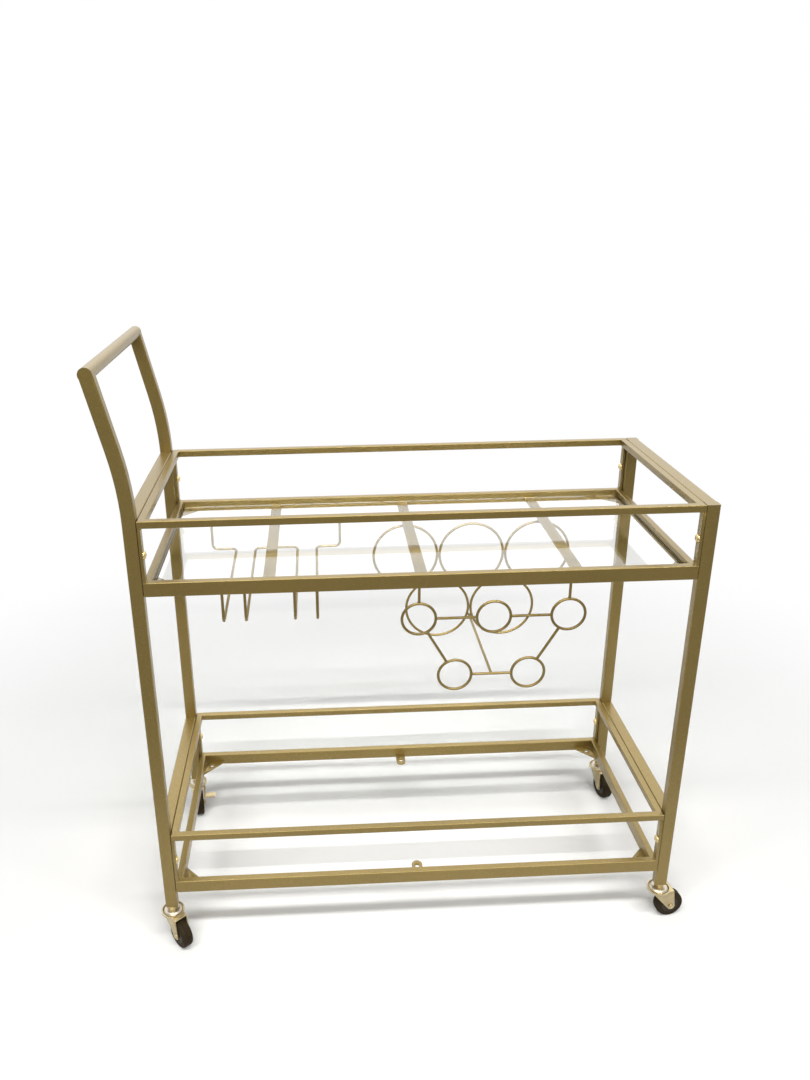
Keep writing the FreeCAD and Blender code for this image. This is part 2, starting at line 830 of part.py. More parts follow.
# Casters
wheel_radius = size("wheel") / 2
stem_radius = size("stem") / 2
cup_radius = size("cup") / 2
crown_radius = cup_radius + size("crown")
sheet_metal = size("sheet")
nut_bottom = leg_bottom - size("stem_nut_height")
cup_rim = nut_bottom - size("cup_height")
race = size("race_clearance")
ball_radius = size("ball") / 2
ball_height = nut_bottom - sheet_metal - ball_radius - race
crown_floor = ball_height - ball_radius - race
crown_bottom = crown_floor - sheet_metal
crown_rim = crown_bottom + size("crown_depth")
fork_gap = size("wheel_width") / 2 + 2 * size("hub_clearance")
fork_outer = fork_gap + sheet_metal
stem_bottom = crown_bottom - sheet_metal
pin_height = size("wheel") + size("pin_height")
CASTERS = (("front_left", -1, -1), ("front_right", 1, -1), ("rear_left", -1, 1), ("rear_right", 1, 1))
BRAKED = ("rear_left",)


def leg_plug(name):
    body = new_body(name)
    face = new_sketch(body, "XY_Plane")
    wall = size("leg_wall") + fit
    add_rounded_rectangle(face, leg_width - 2 * wall, leg_depth - 2 * wall, size("leg_corner") - wall * 0.5)
    add_circle(face, 0, 0, stem_radius + fit)
    pad(body, face, size("plug_height"))
    return body


def caster_stem(name):
    """Threaded stem, shouldered under the fork's crown."""
    top = leg_bottom + size("stem_reach")
    shoulder = stem_radius + sheet_metal
    profile = [(0, stem_bottom), (shoulder, stem_bottom), (shoulder, crown_bottom - race),
               (stem_radius, crown_bottom - race), (stem_radius, top), (0, top)]
    return turned_body(name, "XZ_Plane", profile)


def stem_nut(name):
    body = new_body(name)
    face = new_sketch(body, "XY_Plane")
    corner = size("stem_nut") / math.sqrt(3)
    points = []
    for index in range(6):
        angle = math.radians(60 * index)
        points.append((round(math.cos(angle), 9) * corner, round(math.sin(angle), 9) * corner))
    add_polygon(face, points)
    add_circle(face, 0, 0, stem_radius + fit)
    pad(body, face, size("stem_nut_height"))
    return body


def bearing_cup(name):
    """Cup with a sloping shoulder over the balls, clamped under the stem nut."""
    bore = stem_radius + fit
    rim = cup_radius
    slope = size("cup_slope")
    inset = slope + sheet_metal * math.tan(math.radians(22.5))
    profile = [(bore, nut_bottom), (rim - slope, nut_bottom), (rim, nut_bottom - slope), (rim, cup_rim),
               (rim - sheet_metal, cup_rim), (rim - sheet_metal, nut_bottom - inset),
               (rim - inset, nut_bottom - sheet_metal), (bore, nut_bottom - sheet_metal)]
    return turned_body(name, "XZ_Plane", profile)


def swivel_balls(name, x, y):
    balls = []
    count = int(float(size("ball_count")))
    for index in range(count):
        angle = 2 * math.pi * index / count
        ball = doc.addObject("Part::Sphere", f"{name}_ball_{index + 1}")
        bind(ball, "Radius", ball_radius)
        reach = cup_radius - size("ball_circle")
        balls.append(place(ball, x + reach * math.cos(angle), y + reach * math.sin(angle), ball_height))
    return balls


def add_fork_outline(sketch):
    """Side plate: from the crown's edge, and the web over the wheel, down to a round tip about the axle."""
    rear = -root(crown_radius * crown_radius - fork_outer * fork_outer)
    front = size("trail") + size("fork_web")
    tip = size("fork_tip")
    left = Vector(float(rear), float(crown_floor), 0)
    right = Vector(float(front), float(crown_floor), 0)
    centre = Vector(float(size("trail")), float(wheel_radius), 0)
    start = math.radians(-140)
    end = math.radians(8)
    arc = Part.ArcOfCircle(Part.Circle(centre, Z_AXIS, float(tip)), start, end)
    sketch.addGeometry(Part.LineSegment(left, arc.StartPoint), False)
    sketch.addGeometry(arc, False)
    sketch.addGeometry(Part.LineSegment(arc.EndPoint, right), False)
    sketch.addGeometry(Part.LineSegment(right, left), False)
    sketch.addConstraint(Sketcher.Constraint("Tangent", 0, 2, 1, 1))
    sketch.addConstraint(Sketcher.Constraint("Tangent", 1, 2, 2, 1))
    sketch.addConstraint(Sketcher.Constraint("Coincident", 2, 2, 3, 1))
    sketch.addConstraint(Sketcher.Constraint("Coincident", 3, 2, 0, 1))
    sketch.addConstraint(Sketcher.Constraint("Radius", 1, float(tip)))
    bind_last(sketch, tip)
    fix_point(sketch, 1, 3, size("trail"), wheel_radius)
    fix_point(sketch, 3, 1, front, crown_floor)
    fix_point(sketch, 3, 2, rear, crown_floor)


def fork(name, braked):
    """Pressed fork: bowl-shaped crown, web over the wheel and two side plates."""
    body = new_body(name)
    plates = new_sketch(body, "XZ_Plane")
    add_fork_outline(plates)
    pad(body, plates, fork_outer * 2, symmetric=True)
    gap = new_sketch(body, "XZ_Plane")
    reach = size("trail") + wheel_radius
    add_polygon(gap, [(-reach, 0), (reach, 0), (reach, crown_bottom), (-reach, crown_bottom)])
    pocket(body, gap, fork_gap * 2)
    crown = new_sketch(body, "XZ_Plane")
    bore = stem_radius + fit
    add_polygon(crown, [(bore, crown_bottom), (crown_radius - sheet_metal, crown_bottom),
                        (crown_radius, crown_floor), (crown_radius, crown_rim),
                        (crown_radius - sheet_metal, crown_rim), (crown_radius - sheet_metal, crown_floor),
                        (bore, crown_floor)])
    revolve(body, crown)
    holes = new_sketch(body, "XZ_Plane")
    add_circle(holes, size("trail"), wheel_radius, size("axle") / 2 + fit)
    if braked:
        add_circle(holes, size("pin_x"), pin_height, size("pin") / 2 + fit)
    pocket(body, holes, fork_outer * 4)
    hollow = new_sketch(body, "XY_Plane")
    add_circle(hollow, 0, 0, bore)
    pocket(body, hollow, crown_rim * 2)
    return body


def headed_pin(name, radius, head, head_height, left_seat, right_seat):
    """Pin along Y with a rivet head beyond its seat on either side."""
    crest = head * 0.7
    edge = head_height * 0.4
    profile = [(0, -left_seat - head_height), (crest, -left_seat - head_height), (head, -left_seat - edge),
               (head, -left_seat), (radius, -left_seat), (radius, right_seat), (head, right_seat),
               (head, right_seat + edge), (crest, right_seat + head_height), (0, right_seat + head_height)]
    return turned_body(name, "XY_Plane", profile)


def tyre(name):
    half = size("wheel_width") / 2
    seat = size("hub") / 2 + fit
    profile = [(seat, -half), (wheel_radius, -half), (wheel_radius, half), (seat, half)]
    body = turned_body(name, "XY_Plane", profile)
    fillet(body, size("tread_round"), is_tread_edge)
    return body


def is_tread_edge(edge):
    circle = edge.Curve
    return isinstance(circle, Part.Circle) and abs(circle.Radius - float(wheel_radius)) < 0.01


def hub(name):
    half = size("wheel_width") / 2 + size("hub_clearance")
    face = size("wheel_width") / 2
    boss = size("axle_head") / 2
    bore = size("axle") / 2 + fit
    edge = size("hub") / 2
    return turned_body(name, "XY_Plane", [(bore, -half), (boss, -half), (boss, -face), (edge, -face),
                                          (edge, face), (boss, face), (boss, half), (bore, half)])


def pedal(name):
    """Brake lever along +X from its pivot: round hub, tapering arm, and a foot tab bent out toward +Y."""
    body = new_body(name)
    sheet_half = size("pedal_thickness") / 2
    hub_radius = size("pedal_hub") / 2
    length = size("pedal_length")
    neck = size("pedal_neck")
    round_end = new_sketch(body, "XZ_Plane")
    add_circle(round_end, 0, hub_radius, hub_radius)
    pad(body, round_end, size("pedal_thickness"), symmetric=True)
    arm = new_sketch(body, "XZ_Plane")
    add_polygon(arm, [(0, 0), (length, 0), (length, size("pedal_thickness")), (0, size("pedal_hub"))])
    pad(body, arm, size("pedal_thickness"), symmetric=True)
    tab = new_sketch(body, "XY_Plane")
    add_polygon(tab, [(neck, -sheet_half), (length, -sheet_half), (length, size("pedal_width")),
                      (neck, size("pedal_width"))])
    pad(body, tab, size("pedal_thickness"))
    bore = new_sketch(body, "XZ_Plane")
    add_circle(bore, 0, hub_radius, size("pin") / 2 + fit)
    pocket(body, bore, size("pedal_thickness") * 2)
    return body



plugs = []
stems = []
stem_nuts = []
cups = []
balls = []
for caster, x_sign, y_sign in CASTERS:
    x = x_sign * leg_x
    y = y_sign * leg_y
    yaw = size(f"{caster}_yaw")
    turn = turned(Z_AXIS, yaw)
    axle_x = x + size("trail") * cosine(yaw)
    axle_y = y + size("trail") * sine(yaw)
    plugs.append(place(leg_plug(f"{caster}_plug"), x, y, leg_bottom))
    stems.append(place(caster_stem(f"{caster}_stem"), x, y, 0))
    stem_nuts.append(place(stem_nut(f"{caster}_stem_nut"), x, y, nut_bottom))
    cups.append(place(bearing_cup(f"{caster}_cup"), x, y, 0))
    balls.extend(swivel_balls(caster, x, y))
    keep(place(fork(f"{caster}_fork", caster in BRAKED), x, y, 0, turn))
    axle = headed_pin(f"{caster}_axle", size("axle") / 2, size("axle_head") / 2, size("axle_head_height"),
                      fork_outer + fit, fork_outer + fit)
    keep(place(axle, axle_x, axle_y, wheel_radius, turn))
    keep(place(tyre(f"{caster}_tyre"), axle_x, axle_y, wheel_radius, turn))
    keep(place(hub(f"{caster}_hub"), axle_x, axle_y, wheel_radius, turn))
    if caster in BRAKED:
        pin_x = x + size("pin_x") * cosine(yaw)
        pin_y = y + size("pin_x") * sine(yaw)
        pin = headed_pin(f"{caster}_pedal_pin", size("pin") / 2, size("pin"), size("pin") / 3,
                         fork_outer + fit, fork_outer + 2 * race + size("pedal_thickness"))
        keep(place(pin, pin_x, pin_y, pin_height, turn))
        lever_offset = fork_outer + race + size("pedal_thickness") / 2
        lever_x = pin_x - lever_offset * sine(yaw)
        lever_y = pin_y + lever_offset * cosine(yaw)
        lever_z = pin_height - size("pedal_hub") / 2
        keep(place(pedal(f"{caster}_brake_pedal"), lever_x, lever_y, lever_z, turn))
keep(group("leg_plugs", plugs))
keep(group("caster_stems", stems))
keep(group("caster_stem_nuts", stem_nuts))
keep(group("caster_cups", cups))
keep(group("caster_balls", balls))

# Check every object, then write one file per node
doc.recompute()
for thing in doc.Objects:
    if "Invalid" in thing.State or "Error" in thing.State:
        raise RuntimeError(f"{thing.Label} failed: {thing.State}")
os.makedirs("parts", exist_ok=True)
for node in nodes:
    if node.Shape.isNull() or not node.Shape.isValid():
        raise RuntimeError(f"{node.Label} has no valid shape")
    node.Shape.exportStep(f"parts/{node.Label}.step")
    print(node.Label, len(node.Shape.Solids), "solids", round(node.Shape.Volume), "mm3")
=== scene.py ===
# %% [markdown]
# # A gold bar cart, dressed for its picture
# The cart comes in as finished solids: tubes, trays, wire racks, glass and casters, each already
# in its place. Everything here is in metres and in the same frame, so nothing has to be fitted.
# The lesson gives those solids their finishes, swaps the small parts that need finer shapes, and
# then sets up floor, light and camera.

# %% Load the solids
import json
import math
import bmesh
import bpy
from mathutils import Matrix, Vector


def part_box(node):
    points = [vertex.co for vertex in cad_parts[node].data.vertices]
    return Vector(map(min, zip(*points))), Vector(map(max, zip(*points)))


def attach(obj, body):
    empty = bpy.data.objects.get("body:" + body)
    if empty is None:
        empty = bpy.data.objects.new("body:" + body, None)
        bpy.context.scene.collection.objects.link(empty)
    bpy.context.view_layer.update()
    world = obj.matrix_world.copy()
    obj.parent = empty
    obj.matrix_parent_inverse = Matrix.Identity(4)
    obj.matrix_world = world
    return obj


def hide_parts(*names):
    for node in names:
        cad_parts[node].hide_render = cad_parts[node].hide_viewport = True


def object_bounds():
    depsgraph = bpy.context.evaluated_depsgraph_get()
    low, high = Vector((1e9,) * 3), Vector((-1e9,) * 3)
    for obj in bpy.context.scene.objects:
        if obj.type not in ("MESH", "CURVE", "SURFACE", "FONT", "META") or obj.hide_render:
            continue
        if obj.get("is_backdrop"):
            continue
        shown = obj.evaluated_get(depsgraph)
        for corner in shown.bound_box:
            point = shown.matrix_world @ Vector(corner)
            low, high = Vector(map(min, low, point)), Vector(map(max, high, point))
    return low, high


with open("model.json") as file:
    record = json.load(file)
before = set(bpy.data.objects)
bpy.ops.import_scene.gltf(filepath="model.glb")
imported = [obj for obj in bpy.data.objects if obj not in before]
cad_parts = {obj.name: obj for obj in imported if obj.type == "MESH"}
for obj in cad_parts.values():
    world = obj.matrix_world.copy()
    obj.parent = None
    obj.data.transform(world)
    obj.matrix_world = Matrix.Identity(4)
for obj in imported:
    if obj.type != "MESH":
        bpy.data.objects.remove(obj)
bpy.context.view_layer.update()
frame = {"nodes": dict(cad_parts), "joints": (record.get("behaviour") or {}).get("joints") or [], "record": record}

MM = 0.001
nodes = frame["nodes"]
joints = {joint["name"]: joint for joint in frame["joints"]}
slot_of = {row["node"]: row["material_slot"] for row in frame["record"]["subparts"]}
print("solids:", len(nodes), "joints:", len(joints))

# %% [markdown]
# ## Writing node trees as sums
# A finish is a tree of nodes. Adding each node by hand takes many lines, so one class holds a tree
# and adds any node with a single method, and a second class lets an output socket take part in
# ordinary Python sums. A sum on a socket adds a Math node, which keeps the recipes below short
# enough to read.

# %% A socket in sums, and a sheet of nodes


class Wire:
    """One output socket of a node tree."""

    def __init__(self, sheet, socket):
        self.sheet = sheet
        self.socket = socket

    def sum_node(self, operation, first, second):
        return self.sheet.node("ShaderNodeMath", {"operation": operation}, {0: first, 1: second})

    def __add__(self, other):
        return self.sum_node("ADD", self, other)

    def __radd__(self, other):
        return self.sum_node("ADD", other, self)

    def __sub__(self, other):
        return self.sum_node("SUBTRACT", self, other)

    def __rsub__(self, other):
        return self.sum_node("SUBTRACT", other, self)

    def __mul__(self, other):
        return self.sum_node("MULTIPLY", self, other)

    def __rmul__(self, other):
        return self.sum_node("MULTIPLY", other, self)

    def clipped(self):
        return self.sheet.node("ShaderNodeClamp", None, {0: self})


class NodeSheet:
    """A node tree that one method fills."""

    def __init__(self, tree):
        self.tree = tree
        tree.nodes.clear()

    def node(self, kind, settings=None, sockets=None, output=0):
        made = self.tree.nodes.new(kind)
        for name, value in (settings or {}).items():
            setattr(made, name, value)
        for key, value in (sockets or {}).items():
            if isinstance(value, Wire):
                self.tree.links.new(value.socket, made.inputs[key])
            else:
                made.inputs[key].default_value = value
        if made.outputs:
            return Wire(self, made.outputs[output])


print("node classes ready")

# %% [markdown]
# ## Words for the recipes
# A few nodes come back in every finish: noise, a mix of two colours, a bump, and a mask that is
# nothing below some level of a noise and grows above it. Each gets a short function, so that a
# recipe names its numbers.

# %% Helpers for finishes
MIX_SHARE, MIX_FIRST, MIX_SECOND, MIX_RESULT = 0, 6, 7, 2  # the colour sockets of a Mix node


def new_finish(name):
    material = bpy.data.materials.new(name)
    material.use_nodes = True
    return material, NodeSheet(material.node_tree)


def mix_colour(sheet, share, first, second):
    return sheet.node("ShaderNodeMix", {"data_type": "RGBA"},
                      {MIX_SHARE: share, MIX_FIRST: first, MIX_SECOND: second}, output=MIX_RESULT)


def noise(sheet, place, scale, detail=2.0, roughness=0.5):
    return sheet.node("ShaderNodeTexNoise", None, {
        "Vector": place, "Scale": scale, "Detail": detail, "Roughness": roughness})


def above(value, level, gain):
    """Mask that is 0 up to a level and grows from there."""
    return ((value - level) * gain).clipped()


def object_place(sheet):
    return sheet.node("ShaderNodeTexCoord", output="Object")


def part_of(sheet, vector, axis):
    return sheet.node("ShaderNodeSeparateXYZ", None, {0: vector}, output=axis)


def bump(sheet, height, strength, depth):
    return sheet.node("ShaderNodeBump", None,
                      {"Strength": strength, "Distance": depth, "Height": height}, output="Normal")


def principled(sheet, sockets):
    return sheet.node("ShaderNodeBsdfPrincipled", None, sockets)


def mix_shader(sheet, share, first, second):
    return sheet.node("ShaderNodeMixShader", None, {0: share, 1: first, 2: second})


def set_surface(sheet, shader):
    sheet.node("ShaderNodeOutputMaterial", None, {"Surface": shader})


def rgb(red, green, blue):
    return (red, green, blue, 1.0)


print("finish helpers ready")

# %% [markdown]
# ## Gold powder coat
# The tubes, plates and wires are sprayed with a satin gold powder that holds fine metal flakes.
# Close up it is a tight orange-peel grain with a few bright specks. Three noises of very different
# size make it: a slow one for uneven spraying, a fine one for the grain, which also drives the bump
# and roughness, and a sparse one for specks. A thin clear coat lies over it.

# %% Make the powder coat


def powder_coat(name, deep, bright, speck):
    cloud_share, grain_share, tone_start = 0.5, 0.9, 0.2
    speck_cover = 0.5
    smooth, grain_roughness = 0.34, 0.18
    material, sheet = new_finish(name)
    place = object_place(sheet)
    cloud = noise(sheet, place, scale=7.0)
    grain = noise(sheet, place, scale=640.0, detail=3.0, roughness=0.6)
    sparse = noise(sheet, place, scale=1150.0, detail=1.0)
    tone = (cloud * cloud_share + grain * grain_share - tone_start).clipped()
    colour = mix_colour(sheet, tone, deep, bright)
    spark = above(sparse, level=0.66, gain=9.0)
    colour = mix_colour(sheet, spark * speck_cover, colour, speck)
    set_surface(sheet, principled(sheet, {
        "Base Color": colour,
        "Metallic": 0.85,
        "Roughness": grain * grain_roughness + smooth,
        "Coat Weight": 0.6,
        "Coat Roughness": 0.25,
        "Normal": bump(sheet, grain, strength=0.16, depth=0.2 * MM),
    }))
    return material


gold = powder_coat("gold_powder_coat", deep=rgb(0.174, 0.118, 0.025),
                   bright=rgb(0.315, 0.225, 0.061), speck=rgb(0.8, 0.7, 0.42))
print(gold.name, len(gold.node_tree.nodes), "nodes")

# %% [markdown]
# ## Plated metal
# The casters are zinc plated with a yellow cast, and the screws and stem nuts are brass. Plating
# is a mirror that handling has dulled in patches, so the metal stays fully metallic and only its
# tint and roughness wander. Noise stretched along one axis gives the faint lines that pressing and
# turning leave. The bearing cups, at the top of the casters, are one even, paler tone, because the
# fork that turns under them rubs the yellow off.

# %% Make the plated metals
RUBBED_FROM = 54.1 * MM  # just under the cups
RUBBED_EDGE = 0.25 * MM
RUBBED_ZINC = rgb(0.43, 0.39, 0.31)


def plated_metal(name, deep, bright, stain, smooth, dull, rubbed_above=None):
    line_roughness = 0.08
    material, sheet = new_finish(name)
    place = object_place(sheet)
    patch = noise(sheet, place, scale=110.0, detail=3.0)
    stained = noise(sheet, place, scale=60.0)
    stretched = sheet.node("ShaderNodeMapping", None, {"Vector": place, "Scale": (1.0, 1.0, 9.0)})
    lines = noise(sheet, stretched, scale=260.0)
    colour = mix_colour(sheet, patch, deep, bright)
    colour = mix_colour(sheet, above(stained, level=0.45, gain=2.2), colour, stain)
    if rubbed_above is not None:
        rubbed = above(part_of(sheet, place, "Z"), level=rubbed_above, gain=1 / RUBBED_EDGE)
        colour = mix_colour(sheet, rubbed, colour, RUBBED_ZINC)
    set_surface(sheet, principled(sheet, {
        "Base Color": colour,
        "Metallic": 1.0,
        "Roughness": patch * (dull - smooth) + lines * line_roughness + smooth,
        "Normal": bump(sheet, lines, strength=0.08, depth=0.1 * MM),
    }))
    return material


zinc = plated_metal("caster_zinc", deep=rgb(0.3, 0.24, 0.13), bright=rgb(0.62, 0.51, 0.3),
                    stain=rgb(0.5, 0.43, 0.29), smooth=0.22, dull=0.42, rubbed_above=RUBBED_FROM)
brass = plated_metal("screw_brass", deep=rgb(0.6, 0.44, 0.17), bright=rgb(0.84, 0.68, 0.36),
                     stain=rgb(0.74, 0.66, 0.46), smooth=0.16, dull=0.34)
nut_brass = plated_metal("nut_brass", deep=rgb(0.45, 0.34, 0.15), bright=rgb(0.66, 0.53, 0.27),
                         stain=rgb(0.6, 0.52, 0.34), smooth=0.3, dull=0.5)
print("plated metals:", zinc.name, brass.name, nut_brass.name)

# %% [markdown]
# ## Rubber and plastic
# The wheels are dark brown, nearly black, with a dull skin that picks up pale dust. Dust is a
# second, lighter colour laid on by a noise mask. The same recipe with less dust and more gloss
# serves the plastic hubs and plugs.

# %% Make the moulded finishes


def moulded(name, skin_colour, dust, dusting, smooth, dull, shine):
    material, sheet = new_finish(name)
    place = object_place(sheet)
    coarse = noise(sheet, place, scale=130.0, detail=4.0, roughness=0.65)
    fine = noise(sheet, place, scale=1400.0)
    mask = above(coarse, level=0.42, gain=2.0) * dusting
    set_surface(sheet, principled(sheet, {
        "Base Color": mix_colour(sheet, mask, skin_colour, dust),
        "Roughness": coarse * (dull - smooth) + smooth,
        "Specular IOR Level": shine,
        "Normal": bump(sheet, fine, strength=0.15, depth=0.1 * MM),
    }))
    return material


rubber = moulded("tyre_rubber", rgb(0.024, 0.0155, 0.006), dust=rgb(0.07, 0.05, 0.022),
                 dusting=0.4, smooth=0.5, dull=0.75, shine=0.12)
hub_plastic = moulded("hub_plastic", rgb(0.024, 0.018, 0.011), dust=rgb(0.06, 0.05, 0.035),
                      dusting=0.3, smooth=0.4, dull=0.6, shine=0.3)
plug_plastic = moulded("plug_plastic", rgb(0.03, 0.03, 0.03), dust=rgb(0.08, 0.08, 0.08),
                       dusting=0.3, smooth=0.35, dull=0.5, shine=0.4)
print("moulded finishes:", rubber.name, hub_plastic.name, plug_plastic.name)

# %% [markdown]
# ## Clear glass
# The top shelf is a loose pane of float glass, faintly green. A Principled shader with full
# transmission gives the refraction and the white veil of mirrored backdrop. Glass would block lamp
# rays in this renderer, so for shadow rays alone a Transparent shader takes over, and the racks
# below stay lit. A very weak noise stands for the smears that wiping leaves.

# %% Make the glass


def clear_glass(name, tint):
    material, sheet = new_finish(name)
    smear = noise(sheet, object_place(sheet), scale=16.0, detail=4.0)
    body = principled(sheet, {
        "Base Color": tint,
        "Roughness": above(smear, level=0.5, gain=0.05),
        "IOR": 1.5,
        "Transmission Weight": 1.0,
    })
    lamp_light = sheet.node("ShaderNodeBsdfTransparent", None, {"Color": tint})
    to_lamp = sheet.node("ShaderNodeLightPath", output="Is Shadow Ray")
    set_surface(sheet, mix_shader(sheet, to_lamp, body, lamp_light))
    return material


glass = clear_glass("clear_glass", tint=rgb(0.985, 0.995, 0.99))
print(glass.name, "ready")

# %% [markdown]
# ## Finishes on the solids
# Every solid names the finish it takes. Changing the material in its slot is enough, and the mesh
# stays as it is.

# %% Paint the solids
finish_of = {
    "gold_powder_coat": gold,
    "clear_glass": glass,
    "screw_brass": brass,
    "nut_brass": nut_brass,
    "caster_zinc": zinc,
    "tyre_rubber": rubber,
    "hub_plastic": hub_plastic,
    "plug_plastic": plug_plastic,
}
for node_name, solid in nodes.items():
    for material_slot in solid.material_slots:
        material_slot.material = finish_of[slot_of[node_name]]
print("painted", len(nodes), "solids in", len(finish_of), "finishes")

# %% [markdown]
# ## Small shapes
# Turned parts such as cups, tyres and screw heads are a profile swept once round an axis. A helper
# spins a list of (radius, height) points, after another has rounded its corners, because no pressed
# or moulded edge is sharp. A third joins loops of points by a skin of faces.

# %% Helpers for turned pieces
MERGE = 0.0005 * MM


def new_object(name, mesh, material):
    mesh.materials.clear()
    mesh.materials.append(material)
    piece = bpy.data.objects.new(name, mesh)
    bpy.context.scene.collection.objects.link(piece)
    return piece


def rounded(profile, radius, steps=3):
    """Replace each inner corner of an open profile by a short curve."""
    most = 0.45  # share of an edge that a curve may take
    points = [Vector(point) for point in profile]
    result = [points[0]]
    for before, corner, after in zip(points, points[1:], points[2:]):
        reach = min(radius, (corner - before).length * most, (after - corner).length * most)
        start = corner + (before - corner).normalized() * reach
        end = corner + (after - corner).normalized() * reach
        for step in range(steps + 1):
            share = step / steps
            result.append(start.lerp(corner, share).lerp(corner.lerp(end, share), share))
    result.append(points[-1])
    return result


def spin(shape, profile, segments, place):
    """Add a profile of (radius, height) points, swept round Z, to a bmesh."""
    rings = []
    for index in range(segments):
        angle = 2 * math.pi * index / segments
        turn = Vector((math.cos(angle), math.sin(angle), 0))
        rings.append([shape.verts.new(place @ (turn * radius + Vector((0, 0, height))))
                      for radius, height in profile])
    for index in range(segments):
        ring = rings[index]
        following = rings[(index + 1) % segments]
        for row in range(len(profile) - 1):
            shape.faces.new((ring[row], following[row], following[row + 1], ring[row + 1]))


def skin(shape, loops):
    """Join each closed loop of points to the next by faces."""
    for first, second in zip(loops, loops[1:]):
        for index in range(len(first)):
            following = (index + 1) % len(first)
            shape.faces.new((first[index], first[following], second[following], second[index]))


def smooth_below(mesh, degrees):
    mesh.shade_smooth()
    mesh.set_sharp_from_angle(angle=math.radians(degrees))


def close_shape(shape, name, smooth_angle=40):
    """Merge poles and seams, turn faces outwards and give smooth shading below an angle."""
    bmesh.ops.remove_doubles(shape, verts=shape.verts, dist=MERGE)
    bmesh.ops.dissolve_degenerate(shape, edges=shape.edges, dist=MERGE)
    bmesh.ops.recalc_face_normals(shape, faces=shape.faces)
    mesh = bpy.data.meshes.new(name)
    shape.to_mesh(mesh)
    shape.free()
    smooth_below(mesh, smooth_angle)
    return mesh


def stand_in(piece, body, slot, *replaced):
    """Ride a finished piece on its body and let it stand for its solids."""
    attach(piece, body)
    if replaced:
        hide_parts(*replaced)
    print(piece.name, len(piece.data.polygons), "faces")


# %% [markdown]
# ## Pressed shapes
# Plates, forks and nuts keep the shape of their solid, which has sharp edges. A copy of it is
# merged, its flat faces are joined, and a Bevel breaks the edges. The bevelled result is kept as a
# plain mesh.

# %% A helper for pressed pieces
PRESSED_MERGE = 0.001 * MM
FLAT_ANGLE, SHARP_ANGLE, SHADE_ANGLE = 0.5, 50, 35


def plain_mesh(piece):
    """What a piece's modifiers make of it."""
    graph = bpy.context.evaluated_depsgraph_get()
    return bpy.data.meshes.new_from_object(piece.evaluated_get(graph))


def pressed(name, source, width):
    """A copy of a solid with its edges broken, in the solid's own place."""
    shape = bmesh.new()
    shape.from_mesh(nodes[source].data)
    bmesh.ops.remove_doubles(shape, verts=shape.verts, dist=PRESSED_MERGE)
    bmesh.ops.dissolve_limit(shape, angle_limit=math.radians(FLAT_ANGLE),
                             verts=shape.verts, edges=shape.edges)
    mesh = bpy.data.meshes.new(name)
    shape.to_mesh(mesh)
    shape.free()
    piece = new_object(name, mesh, finish_of[slot_of[source]])
    edge = piece.modifiers.new("broken_edges", "BEVEL")
    edge.width = width
    edge.segments = 2
    edge.limit_method = "ANGLE"
    edge.angle_limit = math.radians(SHARP_ANGLE)
    result = plain_mesh(piece)
    piece.modifiers.remove(edge)
    piece.data = result
    smooth_below(result, SHADE_ANGLE)
    return piece


print("edges are broken above", SHARP_ANGLE, "degrees")

# %% [markdown]
# ## Pieces that repeat
# Screws, rivets and cups come in sets. A Geometry Nodes tree puts one shape on every point of a
# point mesh, turned so that its Z axis follows an attribute of the point, and realises the copies.
# The result is turned into a plain mesh, so that the finished model carries real faces and no live
# modifier.

# %% A tree that repeats one shape on points


def geometry_tree(name, inputs):
    """A new tree with named inputs. Gives the sheet and the identifiers of the inputs."""
    group = bpy.data.node_groups.new(name, "GeometryNodeTree")
    sheet = NodeSheet(group)
    identifiers = {}
    for label, kind in inputs.items():
        made = group.interface.new_socket(label, in_out="INPUT", socket_type=kind)
        identifiers[label] = made.identifier
    group.interface.new_socket("Geometry", in_out="OUTPUT", socket_type="NodeSocketGeometry")
    return sheet, identifiers


def tree_input(sheet, label):
    return sheet.node("NodeGroupInput", output=label)


def close_tree(sheet, geometry):
    """Realise the copies, set the finish and end the tree."""
    real = sheet.node("GeometryNodeRealizeInstances", None, {"Geometry": geometry})
    painted = sheet.node("GeometryNodeSetMaterial", None,
                         {"Geometry": real, "Material": tree_input(sheet, "Finish")})
    sheet.node("NodeGroupOutput", None, {0: painted})


repeat_sheet, repeat_inputs = geometry_tree("repeat_on_points", {
    "Points": "NodeSocketGeometry",
    "Shape": "NodeSocketObject",
    "Finish": "NodeSocketMaterial",
})
facing = repeat_sheet.node("GeometryNodeInputNamedAttribute", {"data_type": "FLOAT_VECTOR"},
                           {"Name": "facing"})
turned = repeat_sheet.node("FunctionNodeAlignRotationToVector", {"axis": "Z"}, {"Vector": facing})
shape_in = repeat_sheet.node(
    "GeometryNodeObjectInfo", {"transform_space": "ORIGINAL"},
    {"Object": tree_input(repeat_sheet, "Shape"), "As Instance": True}, output="Geometry")
copies = repeat_sheet.node("GeometryNodeInstanceOnPoints", None, {
    "Points": tree_input(repeat_sheet, "Points"),
    "Instance": shape_in,
    "Rotation": turned,
})
close_tree(repeat_sheet, copies)


def grow(name, mesh, sheet, inputs):
    """Run a tree on a mesh once and keep the result as a plain mesh."""
    piece = bpy.data.objects.new(name, mesh)
    bpy.context.scene.collection.objects.link(piece)
    modifier = piece.modifiers.new(sheet.tree.name, "NODES")
    modifier.node_group = sheet.tree
    for identifier, value in inputs.items():
        modifier[identifier] = value
    result = plain_mesh(piece)
    piece.modifiers.remove(modifier)
    piece.data = result
    return piece


